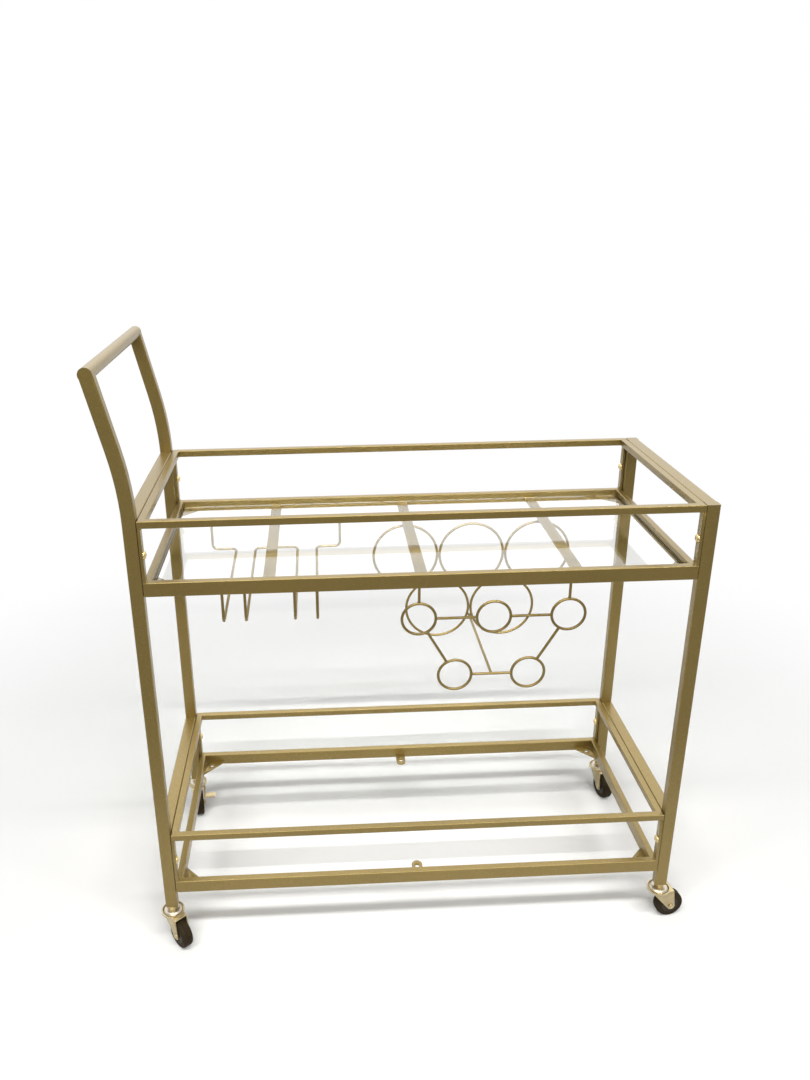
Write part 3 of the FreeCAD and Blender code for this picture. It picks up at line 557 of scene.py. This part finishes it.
def repeated(name, shape_mesh, places, material):
    """Put a shape on (point, facing) pairs."""
    source = new_object(f"{name}_shape", shape_mesh, material)
    points = bpy.data.meshes.new(f"{name}_points")
    points.from_pydata([point for point, direction in places], [], [])
    attribute = points.attributes.new("facing", "FLOAT_VECTOR", "POINT")
    for entry, (point, direction) in zip(attribute.data, places):
        entry.vector = direction
    piece = grow(name, points, repeat_sheet, {
        repeat_inputs["Shape"]: source,
        repeat_inputs["Finish"]: material,
    })
    bpy.data.objects.remove(source)
    return piece


print("tree ready:", repeat_sheet.tree.name)

# %% [markdown]
# ## Tray screws
# Each tray hangs on four button-head screws with a hexagon socket. The head is a low dome, and the
# socket is the same ring of points pulled onto a hexagon and pushed in. One head is made and
# repeated at the eight places, which are read from the solids: the heads lie against the corner
# plates, at their middle height.

# %% Make the screws
TRAYS = ("top", "bottom")
CORNERS = [(x_sign, y_sign) for x_sign in (-1, 1) for y_sign in (-1, 1)]
PLATE = 4 * MM
HALF_RAIL = 5 * MM


def on_hexagon(angle):
    """Distance of a hexagon's side from the centre, as a share of its corners' distance."""
    half_side = math.radians(30)
    return math.cos(half_side) / math.cos((angle + half_side) % (2 * half_side) - half_side)


def button_head(radius, height, socket, shank, reach):
    """Dome with a hexagon socket on +Z and a plain shank along -Z."""
    segments = 36
    dome_steps, dome_angle = 6, math.radians(78)
    rim, edge = 0.12, 0.04  # shares of the height and the radius that stay upright
    socket_depth, socket_edge = 0.62 * height, 0.15 * MM
    profile = [(0.0, -reach), (shank, -reach), (shank, 0.0), (radius, 0.0), (radius, height * rim)]
    for step in range(1, dome_steps + 1):
        angle = dome_angle * step / dome_steps
        profile.append((radius * (edge + (1 - edge) * math.cos(angle)),
                        height * (rim + (1 - rim) * math.sin(angle))))
    shape = bmesh.new()
    spin(shape, rounded(profile, 0.25 * MM), segments, Matrix.Identity(4))
    rim_radius, rim_height = profile[-1]
    loops = []
    for share, depth in ((0.0, 0.0), (1.0, socket_edge), (1.0, socket_depth)):
        loop = []
        for index in range(segments):
            angle = 2 * math.pi * index / segments
            reached = rim_radius + (socket * on_hexagon(angle) - rim_radius) * share
            loop.append(shape.verts.new((reached * math.cos(angle), reached * math.sin(angle),
                                         rim_height - depth)))
        loops.append(loop)
    skin(shape, loops)
    shape.faces.new(loops[-1])
    return close_shape(shape, "button_head", smooth_angle=35)


def corner_plates():
    """Signs, x of the inner face, and lowest and highest corner of the set, for each plate."""
    for level in TRAYS:
        low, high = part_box(f"{level}_tray_corner_plates")
        for x_sign, y_sign in CORNERS:
            yield x_sign, y_sign, x_sign * (high.x - PLATE), low, high


screw_places = []
for x_sign, y_sign, x, low, high in corner_plates():
    place = Vector((x, y_sign * (high.y - HALF_RAIL), (low.z + high.z) / 2))
    screw_places.append((place, Vector((-x_sign, 0, 0))))
head_mesh = button_head(radius=5.75 * MM, height=3.6 * MM, socket=2.0 * MM,
                        shank=2.5 * MM, reach=18 * MM)
screws = repeated("tray_screw_set", head_mesh, screw_places, brass)
stand_in(screws, "frame", "screw_brass", "tray_screws")

# %% [markdown]
# ## Glass pane
# The pane has rounded corners and polished edges. Its outline is repeated at four heights, and the
# lowest and highest loop are drawn in a little, which gives all edges a narrow arris that catches a
# thin line of light as ground glass does. Glass that lies on metal still has air below it, so the
# pane starts a hair above the strips. Without that air the strips would look wet and dark.

# %% Make the pane
AIR_UNDER_GLASS = 0.2 * MM


def glass_pane(name, low, high, corner, arris):
    corner_steps = 6
    outline = []
    for x_sign, y_sign, start in ((1, 1, 0), (-1, 1, 90), (-1, -1, 180), (1, -1, 270)):
        centre_x = (high.x - corner) * x_sign
        centre_y = (high.y - corner) * y_sign
        for step in range(corner_steps + 1):
            angle = math.radians(start + 90 * step / corner_steps)
            outline.append((centre_x + corner * math.cos(angle),
                            centre_y + corner * math.sin(angle)))
    shape = bmesh.new()
    loops = []
    for inset, height in ((arris, low.z), (0, low.z + arris), (0, high.z - arris), (arris, high.z)):
        scale_x = (high.x - inset) / high.x
        scale_y = (high.y - inset) / high.y
        loops.append([shape.verts.new((x * scale_x, y * scale_y, height)) for x, y in outline])
    skin(shape, loops)
    shape.faces.new(loops[0][::-1])
    shape.faces.new(loops[-1])
    return close_shape(shape, name, smooth_angle=20)


pane_low, pane_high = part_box("glass_panel")
pane_low.z += AIR_UNDER_GLASS
pane_mesh = glass_pane("glass_pane", pane_low, pane_high, corner=3 * MM, arris=0.8 * MM)
pane = new_object("glass_pane", pane_mesh, glass)
stand_in(pane, "frame", "clear_glass", "glass_panel")

# %% [markdown]
# ## Flat plates
# Strips, gussets, tabs and corner plates are cut from sheet and sprayed, so their edges are
# slightly rounded by the coat. The solids have sharp edges, and a narrow bevel on a copy of each
# gives the soft line of light that coated sheet shows.

# %% Break the edges of the plates
STRIPS = ("stem_rack_strip", "bottle_rack_middle_strip", "bottle_rack_end_strip")
COATED_EDGE = 0.35 * MM
flat_plates = ["bottom_tray_tabs", *STRIPS]
for level in TRAYS:
    flat_plates += [f"{level}_tray_gussets", f"{level}_tray_corner_plates"]
for source in flat_plates:
    plate = pressed(f"{source}_coated", source, COATED_EDGE)
    stand_in(plate, "frame", "gold_powder_coat", source)

# %% [markdown]
# ## Weld beads
# Wires, strips and plates are joined by short welds that the coat runs over. A weld is a row of
# overlapping drops, so the tree turns each edge of a mesh into a curve, spaces points along it by a
# set pitch, and puts a slightly random drop on each point. A joint of two wires is a very short
# edge, and becomes a single blob.

# %% A tree that lays weld beads
RANDOM_MIN, RANDOM_MAX, RANDOM_RESULT = 2, 3, 1  # the number sockets of a Random Value node
weld_sheet, weld_inputs = geometry_tree("weld_beads", {
    "Runs": "NodeSocketGeometry",
    "Pitch": "NodeSocketFloat",
    "Drop radius": "NodeSocketFloat",
    "Seed": "NodeSocketInt",
    "Finish": "NodeSocketMaterial",
})
runs = weld_sheet.node("GeometryNodeMeshToCurve", None, {"Mesh": tree_input(weld_sheet, "Runs")})
spaced = weld_sheet.node("GeometryNodeResampleCurve", {"mode": "LENGTH"},
                         {"Curve": runs, "Length": tree_input(weld_sheet, "Pitch")})
drop = weld_sheet.node("GeometryNodeMeshIcoSphere", None,
                       {"Radius": tree_input(weld_sheet, "Drop radius"), "Subdivisions": 2})
drop = weld_sheet.node("GeometryNodeSetShadeSmooth", None,
                       {"Geometry": drop, "Shade Smooth": True})
swell = weld_sheet.node(
    "FunctionNodeRandomValue", {"data_type": "FLOAT"},
    {RANDOM_MIN: 0.86, RANDOM_MAX: 1.1, "Seed": tree_input(weld_sheet, "Seed")},
    output=RANDOM_RESULT)
drops = weld_sheet.node("GeometryNodeInstanceOnPoints", None,
                        {"Points": spaced, "Instance": drop, "Scale": swell})
close_tree(weld_sheet, drops)
print("tree ready:", weld_sheet.tree.name)

# %% [markdown]
# ## Welds of the plates
# The corner plates are welded to the rails along their lower and upper edges, and the strips along
# both long sides. Each run stops a millimetre short of the plate's ends.

# %% Weld the plates
RUN_END = 1 * MM


def weld_set(name, edges, pitch, radius, seed):
    """Lay beads along (start, end) edges."""
    mesh = bpy.data.meshes.new(f"{name}_runs")
    points = [point for edge in edges for point in edge]
    mesh.from_pydata(points, [(index, index + 1) for index in range(0, len(points), 2)], [])
    piece = grow(name, mesh, weld_sheet, {
        weld_inputs["Pitch"]: pitch,
        weld_inputs["Drop radius"]: radius,
        weld_inputs["Seed"]: seed,
        weld_inputs["Finish"]: gold,
    })
    stand_in(piece, "frame", "gold_powder_coat")


plate_runs = []
for x_sign, y_sign, x, low, high in corner_plates():
    for z in (low.z, high.z):
        inner = Vector((x, y_sign * (high.y - 2 * HALF_RAIL + RUN_END), z))
        outer = Vector((x, y_sign * (high.y - RUN_END), z))
        plate_runs.append((inner, outer))
for name in STRIPS:
    low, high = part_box(name)
    for y in (low.y, high.y):
        plate_runs.append((Vector((low.x + RUN_END, y, low.z)),
                           Vector((high.x - RUN_END, y, low.z))))
weld_set("plate_welds", plate_runs, pitch=1.7 * MM, radius=1.1 * MM, seed=4)

# %% [markdown]
# ## Joints of the bottle rack
# The wires of this rack touch along their rings and at the ends of their bars. The joints are
# worked out from the rings' boxes: a box gives the centre lines, and the pitch of the rings gives
# the points where they touch. The rings are numbered from the left, first the upper row, then the
# lower one.

# %% Find the bottle rack's joints
RING_PITCH = 105 * MM
ROW_PITCH = RING_PITCH * math.sin(math.radians(60))
RING_PLACES = [(0, 0), (1, 0), (2, 0), (0.5, 1), (1.5, 1)]  # pitches along the row, and the row
TOUCHING_BODIES = ((0, 1), (1, 2), (3, 4), (0, 3), (1, 3), (1, 4), (2, 4))
JOINED_NECKS = ((0, 1), (1, 2), (3, 4), (0, 3), (2, 4))
HUNG_RINGS = (0, 2)


def ring_centres(source):
    """Centres and outer radius of a set of rings."""
    low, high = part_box(source)
    outer = (high.z - low.z - ROW_PITCH) / 2
    middle_y = (low.y + high.y) / 2
    centres = [Vector((pitches * RING_PITCH, middle_y, high.z - outer - row * ROW_PITCH))
               for pitches, row in RING_PLACES]
    return centres, outer


body_rings, body_outer = ring_centres("bottle_rack_body_rings")
neck_rings, neck_outer = ring_centres("bottle_rack_neck_rings")
low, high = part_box("bottle_rack_body_rings")
wire = high.y - low.y
strip_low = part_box("bottle_rack_middle_strip")[0].z
wire_joints = []
for first, second in TOUCHING_BODIES:
    wire_joints.append((body_rings[first] + body_rings[second]) / 2)
for first, second in JOINED_NECKS:
    along = (neck_rings[second] - neck_rings[first]).normalized()
    wire_joints.append(neck_rings[first] + along * neck_outer)
    wire_joints.append(neck_rings[second] - along * neck_outer)
for column in HUNG_RINGS:
    for ring, reach in ((body_rings[column], body_outer), (neck_rings[column], neck_outer)):
        wire_joints.append(ring + Vector((0, 0, reach)))
        wire_joints.append(Vector((ring.x, ring.y, strip_low)))
wire_joints.append((neck_rings[3] + neck_rings[4]) / 2 + Vector((0, wire / 2, 0)))
print("joints of the bottle rack:", len(wire_joints))

# %% [markdown]
# ## Joints of the stem rack
# The bent wires of the stem rack meet its front cross bar and its hangers. Their boxes give these
# points too, and one set of blobs then serves both racks.

# %% Find the stem rack's joints and weld both racks
stem_low, stem_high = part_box("stem_rack_outer_wire")
cross_low, cross_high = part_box("stem_rack_cross_wires")
inner_low, inner_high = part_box("stem_rack_inner_wire")
rack_x = (stem_low.x + stem_high.x) / 2
front_y = stem_low.y + wire / 2
rear_y = stem_high.y - wire / 2
bar_z = cross_high.z - wire
for low, high in ((cross_low, cross_high), (inner_low, inner_high)):
    for x in (low.x + wire / 2, high.x - wire / 2):
        wire_joints.append(Vector((x, front_y, bar_z)))
wire_joints.append(Vector((rack_x, front_y, cross_high.z)))
for z in (cross_high.z, bar_z, cross_low.z):
    wire_joints.append(Vector((rack_x, rear_y, z)))
half_blob = Vector((0.6 * MM, 0, 0))
blob_runs = [(point - half_blob, point + half_blob) for point in wire_joints]
weld_set("wire_welds", blob_runs, pitch=5 * MM, radius=1.9 * MM, seed=9)

# %% [markdown]
# ## Casters
# Each caster is a nut under the leg, a bearing cup, a pressed fork with a bowl crown, a riveted
# axle and a wheel. The rear left one also has a brake lever on its right side. The frame's joints
# say where each one stands and which way it trails, so a caster is drawn once in its own space,
# with X along the trail, Y along the axle and Z up, and then set in place.

# %% Read where the casters stand
CASTERS = ("front_left", "front_right", "rear_left", "rear_right")
UP = Vector((0, 0, 1))


def joint_place(joint):
    return Vector(joints[joint]["pos_m"])


def axle_direction(caster):
    return Vector(joints[f"{caster}_wheel_spin"]["axis"])


def caster_space(caster):
    """Matrix from a caster's own space to the cart, standing on the floor under its stem."""
    stem = joint_place(f"{caster}_swivel_turn")
    axle_way = axle_direction(caster)
    trail_way = Vector((axle_way.y, -axle_way.x, 0))
    columns = Matrix((trail_way, axle_way, UP)).transposed()
    return Matrix.Translation((stem.x, stem.y, 0)) @ columns.to_4x4()


space_of = {caster: caster_space(caster) for caster in CASTERS}
for caster, space in space_of.items():
    trail = space.to_3x3() @ Vector((1, 0, 0))
    heading = math.degrees(math.atan2(trail.y, trail.x))
    print(caster, "trails towards", round(heading, 1), "degrees")

# %% [markdown]
# ## Wheels
# The tyre is a turned ring with a flat tread, round shoulders, a stepped side wall and the fine
# lines that the mould leaves. The hub is a turned disc with a raised boss and rim. Both are
# profiles swept round the axle, of which one half is written down and the other mirrored.

# %% Make the wheels
ALONG_AXLE = Matrix.Rotation(math.radians(-90), 4, "X")
WHEEL_SEGMENTS = 72
# (radius, height) in millimetres, from the bore outwards.
TYRE_HALF = [
    (13.05, -7.5), (13.6, -8.0), (16.6, -8.0), (16.9, -7.65), (17.9, -7.65), (18.2, -7.95),
    (19.4, -7.6), (20.5, -6.8), (21.2, -5.6), (21.5, -4.2), (21.5, -2.6), (21.32, -2.45),
    (21.32, -2.15), (21.5, -2.0), (21.5, -0.3), (21.36, -0.12),
]
HUB_HALF = [
    (2.6, -8.5), (3.8, -8.5), (4.0, -8.2), (4.3, -7.4), (5.2, -6.9), (10.2, -6.9), (11.0, -7.3),
    (11.4, -7.9), (12.8, -7.9), (12.95, -7.5),
]


def mirrored_profile(half):
    """A closed profile in metres from one half in millimetres, given at negative height."""
    whole = half + [(radius, -height) for radius, height in reversed(half)] + [half[0]]
    return [(radius * MM, height * MM) for radius, height in whole]


for caster, space in space_of.items():
    axle_local = space.inverted() @ joint_place(f"{caster}_wheel_spin")
    place = space @ Matrix.Translation(axle_local) @ ALONG_AXLE
    for part, half, slot in (("tyre", TYRE_HALF, "tyre_rubber"), ("hub", HUB_HALF, "hub_plastic")):
        piece_name = f"{caster}_{part}_turned"
        shape = bmesh.new()
        spin(shape, mirrored_profile(half), WHEEL_SEGMENTS, place)
        piece = new_object(piece_name, close_shape(shape, piece_name), finish_of[slot])
        stand_in(piece, f"{caster}_wheel", slot, f"{caster}_{part}")

# %% [markdown]
# ## Forks and rivets
# Fork and brake lever are pressed from sheet, so their edges are soft. Their solids are copied and
# bevelled. The axle ends are rolled over like tubular rivets: the same repeating tree puts one head
# on each end of an axle and of the lever's pin, and each set rides on the fork that holds it. How
# far a pin reaches is measured on its solid.

# %% Make forks, lever and rivets
AXLE_HEAD = (4.0 * MM, 1.5 * MM)  # radius and height of a rivet head
PIN_HEAD = (3.0 * MM, 0.95 * MM)
FORK_EDGE, LEVER_EDGE = 0.4 * MM, 0.6 * MM


def rivet_mesh(name, radius, height, shank):
    """Rolled ring on +Z round a shallow hollow, as on a tubular rivet, with a shank below it."""
    ring, rim, neck = 0.62, 0.25, 0.6  # shares of the radius, the height and the radius
    roll_steps = 5
    hollow = [(0.5, 0.85), (0.4, 0.4), (0.0, 0.35)]  # shares of radius and height
    head = [(0.0, -shank), (radius * neck, -shank), (radius * neck, 0.0), (radius, 0.0),
            (radius, height * rim)]
    for step in range(1, roll_steps + 1):
        angle = math.radians(90) * step / roll_steps
        head.append((radius * (ring + (1 - ring) * math.cos(angle)),
                     height * (rim + (1 - rim) * math.sin(angle))))
    head += [(radius * across, height * up) for across, up in hollow]
    shape = bmesh.new()
    spin(shape, head, 24, Matrix.Identity(4))
    return close_shape(shape, name)


def reach_of(source, centre, way):
    """How far a solid goes from a centre, against and along a direction."""
    offsets = [(vertex.co - centre).dot(way) for vertex in nodes[source].data.vertices]
    return -min(offsets), max(offsets)


def rivet_pin(caster, part, joint, radius, height):
    """A rivet head on each end of a pin, in place of the pin's solid."""
    axle_way = axle_direction(caster)
    centre = joint_place(f"{caster}_{joint}")
    left, right = reach_of(f"{caster}_{part}", centre, axle_way)
    ends = [(centre - axle_way * (left - height), -axle_way),
            (centre + axle_way * (right - height), axle_way)]
    head = rivet_mesh("rivet", radius, height, shank=min(left, right) - height)
    rivets = repeated(f"{caster}_{part}_rivets", head, ends, zinc)
    stand_in(rivets, f"{caster}_swivel", "caster_zinc", f"{caster}_{part}")


for caster in CASTERS:
    fork = pressed(f"{caster}_fork_pressed", f"{caster}_fork", FORK_EDGE)
    stand_in(fork, f"{caster}_swivel", "caster_zinc", f"{caster}_fork")
    braked = f"{caster}_brake_tip" in joints
    if braked:
        lever = pressed(f"{caster}_brake_lever", f"{caster}_brake_pedal", LEVER_EDGE)
        stand_in(lever, f"{caster}_brake", "caster_zinc", f"{caster}_brake_pedal")
    rivet_pin(caster, "axle", "wheel_spin", *AXLE_HEAD)
    if braked:
        rivet_pin(caster, "pedal_pin", "brake_tip", *PIN_HEAD)

# %% [markdown]
# ## Bearing cups and stem nuts
# Between leg and fork sit a round-shouldered cup over the bearing and the nut that clamps it. All
# four cups are one shape on four points, and the nuts are a copy of their solids with broken edges.
# Both stay still when the casters turn.

# %% Make cups and nuts
NUT_EDGE = 0.6 * MM
cup_low, cup_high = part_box("caster_cups")
stem_points = [joint_place(f"{caster}_swivel_turn") for caster in CASTERS]


def cup_mesh(name, radius, top, sheet, bore):
    """Pressed cup, open below, with a bore in its top."""
    shoulder, inner_shoulder = 3.0 * MM, 3.6 * MM
    profile = [
        (bore, top - sheet), (bore, top), (radius - shoulder, top), (radius, top - shoulder),
        (radius, 0.0), (radius - sheet, 0.0), (radius - sheet, top - inner_shoulder),
        (radius - inner_shoulder, top - sheet), (bore, top - sheet),
    ]
    shape = bmesh.new()
    spin(shape, rounded(profile, 1.4 * MM, steps=4), 64, Matrix.Identity(4))
    return close_shape(shape, name)


cup_radius = cup_high.x - max(point.x for point in stem_points)
cup_shape = cup_mesh("bearing_cup", cup_radius, top=cup_high.z - cup_low.z,
                     sheet=1.6 * MM, bore=4.05 * MM)
cup_places = [(Vector((point.x, point.y, cup_low.z)), UP) for point in stem_points]
cups = repeated("bearing_cup_set", cup_shape, cup_places, zinc)
stand_in(cups, "frame", "caster_zinc", "caster_cups")
stem_nuts = pressed("stem_nut_set", "caster_stem_nuts", NUT_EDGE)
stand_in(stem_nuts, "frame", "nut_brass", "caster_stem_nuts")

# %% [markdown]
# ## Floor
# The cart stands on a white sheet that starts just in front of it and runs back, and the room's
# floor before the sheet is dark. That dark floor is out of the picture, but the upper rails mirror
# it, and so look deeper than the lower ones, which mirror the sheet. The camera, the glass and the
# metal all see the sheet white, and far from the cart it is plain white, so it joins the backdrop
# with no edge. The soft light that it throws back on the cart is that of a grey sheet, because a
# white one would wash out the gold. Seen from behind, where the camera looks over the dark floor,
# that floor is white too.

# %% Lay the floor
FLOOR_HALF = 30.0
SHEET_EDGE = (-0.42, -0.62)  # depth at which the sheet starts to end, and ends
WHITE_FROM = (0.4, 1.5)  # distance at which the sheet starts to be plain white, and is
WHITE = rgb(1, 1, 1)


def add_up(sheet, *labels):
    """Sum of Light Path outputs, at most one."""
    total = sheet.node("ShaderNodeLightPath", output=labels[0])
    for label in labels[1:]:
        total = total + sheet.node("ShaderNodeLightPath", output=label)
    return total.clipped()


def ramp(sheet, value, start, end, first=0.0, last=1.0):
    """Smooth change from one value to another while the input goes from start to end."""
    return sheet.node("ShaderNodeMapRange", {"interpolation_type": "SMOOTHSTEP"}, {
        "Value": value, "From Min": start, "From Max": end, "To Min": first, "To Max": last})


def studio_floor(name, shown, paper, ground):
    material, sheet = new_finish(name)
    place = object_place(sheet)
    distance = sheet.node("ShaderNodeVectorMath", {"operation": "LENGTH"}, {0: place},
                          output="Value")
    off_sheet = ramp(sheet, part_of(sheet, place, "Y"), *SHEET_EDGE)
    far = ramp(sheet, distance, *WHITE_FROM)
    seen = add_up(sheet, "Is Camera Ray", "Is Transmission Ray")
    looked_at = add_up(sheet, "Is Camera Ray", "Is Transmission Ray", "Is Glossy Ray")
    pale = mix_colour(sheet, looked_at, paper, shown)
    matt = principled(sheet, {
        "Base Color": mix_colour(sheet, off_sheet * (1 - seen), pale, ground),
        "Roughness": 0.7,
        "Specular IOR Level": 0.2,
    })
    plain = far * looked_at * (1 - off_sheet) + off_sheet * seen
    white = sheet.node("ShaderNodeEmission", None, {"Color": WHITE, "Strength": 1.0})
    set_surface(sheet, mix_shader(sheet, plain, matt, white))
    return material


floor_corners = [(x * FLOOR_HALF, y * FLOOR_HALF, 0)
                 for x, y in ((-1, -1), (1, -1), (1, 1), (-1, 1))]
floor_mesh = bpy.data.meshes.new("studio_floor")
floor_mesh.from_pydata(floor_corners, [], [(0, 1, 2, 3)])
floor_finish = studio_floor("studio_floor", shown=rgb(0.96, 0.96, 0.94),
                            paper=rgb(0.5, 0.5, 0.48), ground=rgb(0.38, 0.37, 0.35))
floor = new_object("studio_floor", floor_mesh, floor_finish)
floor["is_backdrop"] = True
print("floor side", 2 * FLOOR_HALF, "m")

# %% [markdown]
# ## Lamps
# Most of the light comes from two ceiling strips in front of the cart, one near and one far behind
# the camera. They are long across the picture and narrow in depth, so the long rails throw clear
# bands on the floor while legs and end rails throw none.

# %% Set the lamps
LAMP_HEIGHT = 3.3
LAMP_AIM = Vector((0.0, 0.0, 0.3))


def strip_lamp(name, y, width, depth, power):
    lamp = bpy.data.lights.new(name, "AREA")
    lamp.shape = "RECTANGLE"
    lamp.size = width
    lamp.size_y = depth
    lamp.energy = power
    place = Vector((0.0, y, LAMP_HEIGHT))
    holder = bpy.data.objects.new(name, lamp)
    holder.location = place
    holder.rotation_euler = (LAMP_AIM - place).to_track_quat("-Z", "Y").to_euler()
    bpy.context.scene.collection.objects.link(holder)
    print(name, "of", power, "W")


strip_lamp("near_strip", y=-1.48, width=4.0, depth=0.28, power=105.0)
strip_lamp("far_strip", y=-5.24, width=6.0, depth=0.06, power=200.0)

# %% [markdown]
# ## Room
# The room gives the rest of the light as a weak glow from above. Polished parts see a room that is
# white behind and above the cart and dim on the camera's side, so the front faces of the tubes are
# deeper than their tops. The camera and the glass see plain white.

# %% Set the world
world = bpy.data.worlds.new("studio_room")
bpy.context.scene.world = world
world.use_nodes = True
room = NodeSheet(world.node_tree)
way = room.node("ShaderNodeTexCoord", output="Generated")
backward = part_of(room, way, "Y")
upward = part_of(room, way, "Z")
glow_by_depth = ramp(room, backward, start=-0.7, end=0.25, first=0.18, last=1.0)
glow_by_height = ramp(room, upward, start=0.05, end=0.6, first=1.0, last=2.2)
ambient = ramp(room, upward, start=0.0, end=1.0, first=0.03, last=0.2)
seen = add_up(room, "Is Camera Ray", "Is Transmission Ray")
mirrored = add_up(room, "Is Glossy Ray") * (1 - seen)
lit = 1 - seen - mirrored
strength = seen + mirrored * (glow_by_depth * glow_by_height) + lit * ambient
backdrop = room.node("ShaderNodeBackground", None, {"Color": WHITE, "Strength": strength})
room.node("ShaderNodeOutputWorld", None, {"Surface": backdrop})
print(world.name, len(world.node_tree.nodes), "nodes")

# %% [markdown]
# ## Camera
# The camera stands where the picture was taken: in front of the cart, a little to the left of its
# middle, above handle height, looking down by about twenty-one degrees. Its focal length and the
# small shift of its centre are given in pixels of an 810 by 1080 picture.

# %% Place the camera
PICTURE_HEIGHT = 1080
PICTURE_WIDTH = 810
FOCAL = 872.22
CENTRE = (353.65, 512.11)
EYE = Vector((-131.35, -1183.1, 1079.7)) * MM
YAW, PITCH_DOWN, ROLL = (math.radians(angle) for angle in (2.280, 20.802, -0.849))
forward = Vector((math.sin(YAW) * math.cos(PITCH_DOWN), math.cos(YAW) * math.cos(PITCH_DOWN),
                  -math.sin(PITCH_DOWN)))
level_right = Vector((math.cos(YAW), -math.sin(YAW), 0))
level_up = level_right.cross(forward)
right = level_right * math.cos(ROLL) + level_up * math.sin(ROLL)
up = level_up * math.cos(ROLL) - level_right * math.sin(ROLL)
turn = Matrix((right, up, -forward)).transposed()

lens = bpy.data.cameras.new("picture_camera")
lens.sensor_width = 36.0
lens.lens = FOCAL / PICTURE_HEIGHT * lens.sensor_width
lens.shift_x = (PICTURE_WIDTH / 2 - CENTRE[0]) / PICTURE_HEIGHT
lens.shift_y = (CENTRE[1] - PICTURE_HEIGHT / 2) / PICTURE_HEIGHT
camera = bpy.data.objects.new("picture_camera", lens)
camera.matrix_world = Matrix.Translation(EYE) @ turn.to_4x4()
bpy.context.scene.collection.objects.link(camera)
bpy.context.scene.camera = camera
bpy.context.scene.view_settings.view_transform = "Standard"
print("lens", round(lens.lens, 2), "mm, shift", round(lens.shift_x, 4), round(lens.shift_y, 4))

# %% [markdown]
# ## Sizes
# The dressed cart is meant to stay inside the box of its solids. Only the dressed cart's box is printed.

# %% Print the dressed box and finish
low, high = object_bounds()
print("dressed", [round(value, 4) for value in (*low, *high)])
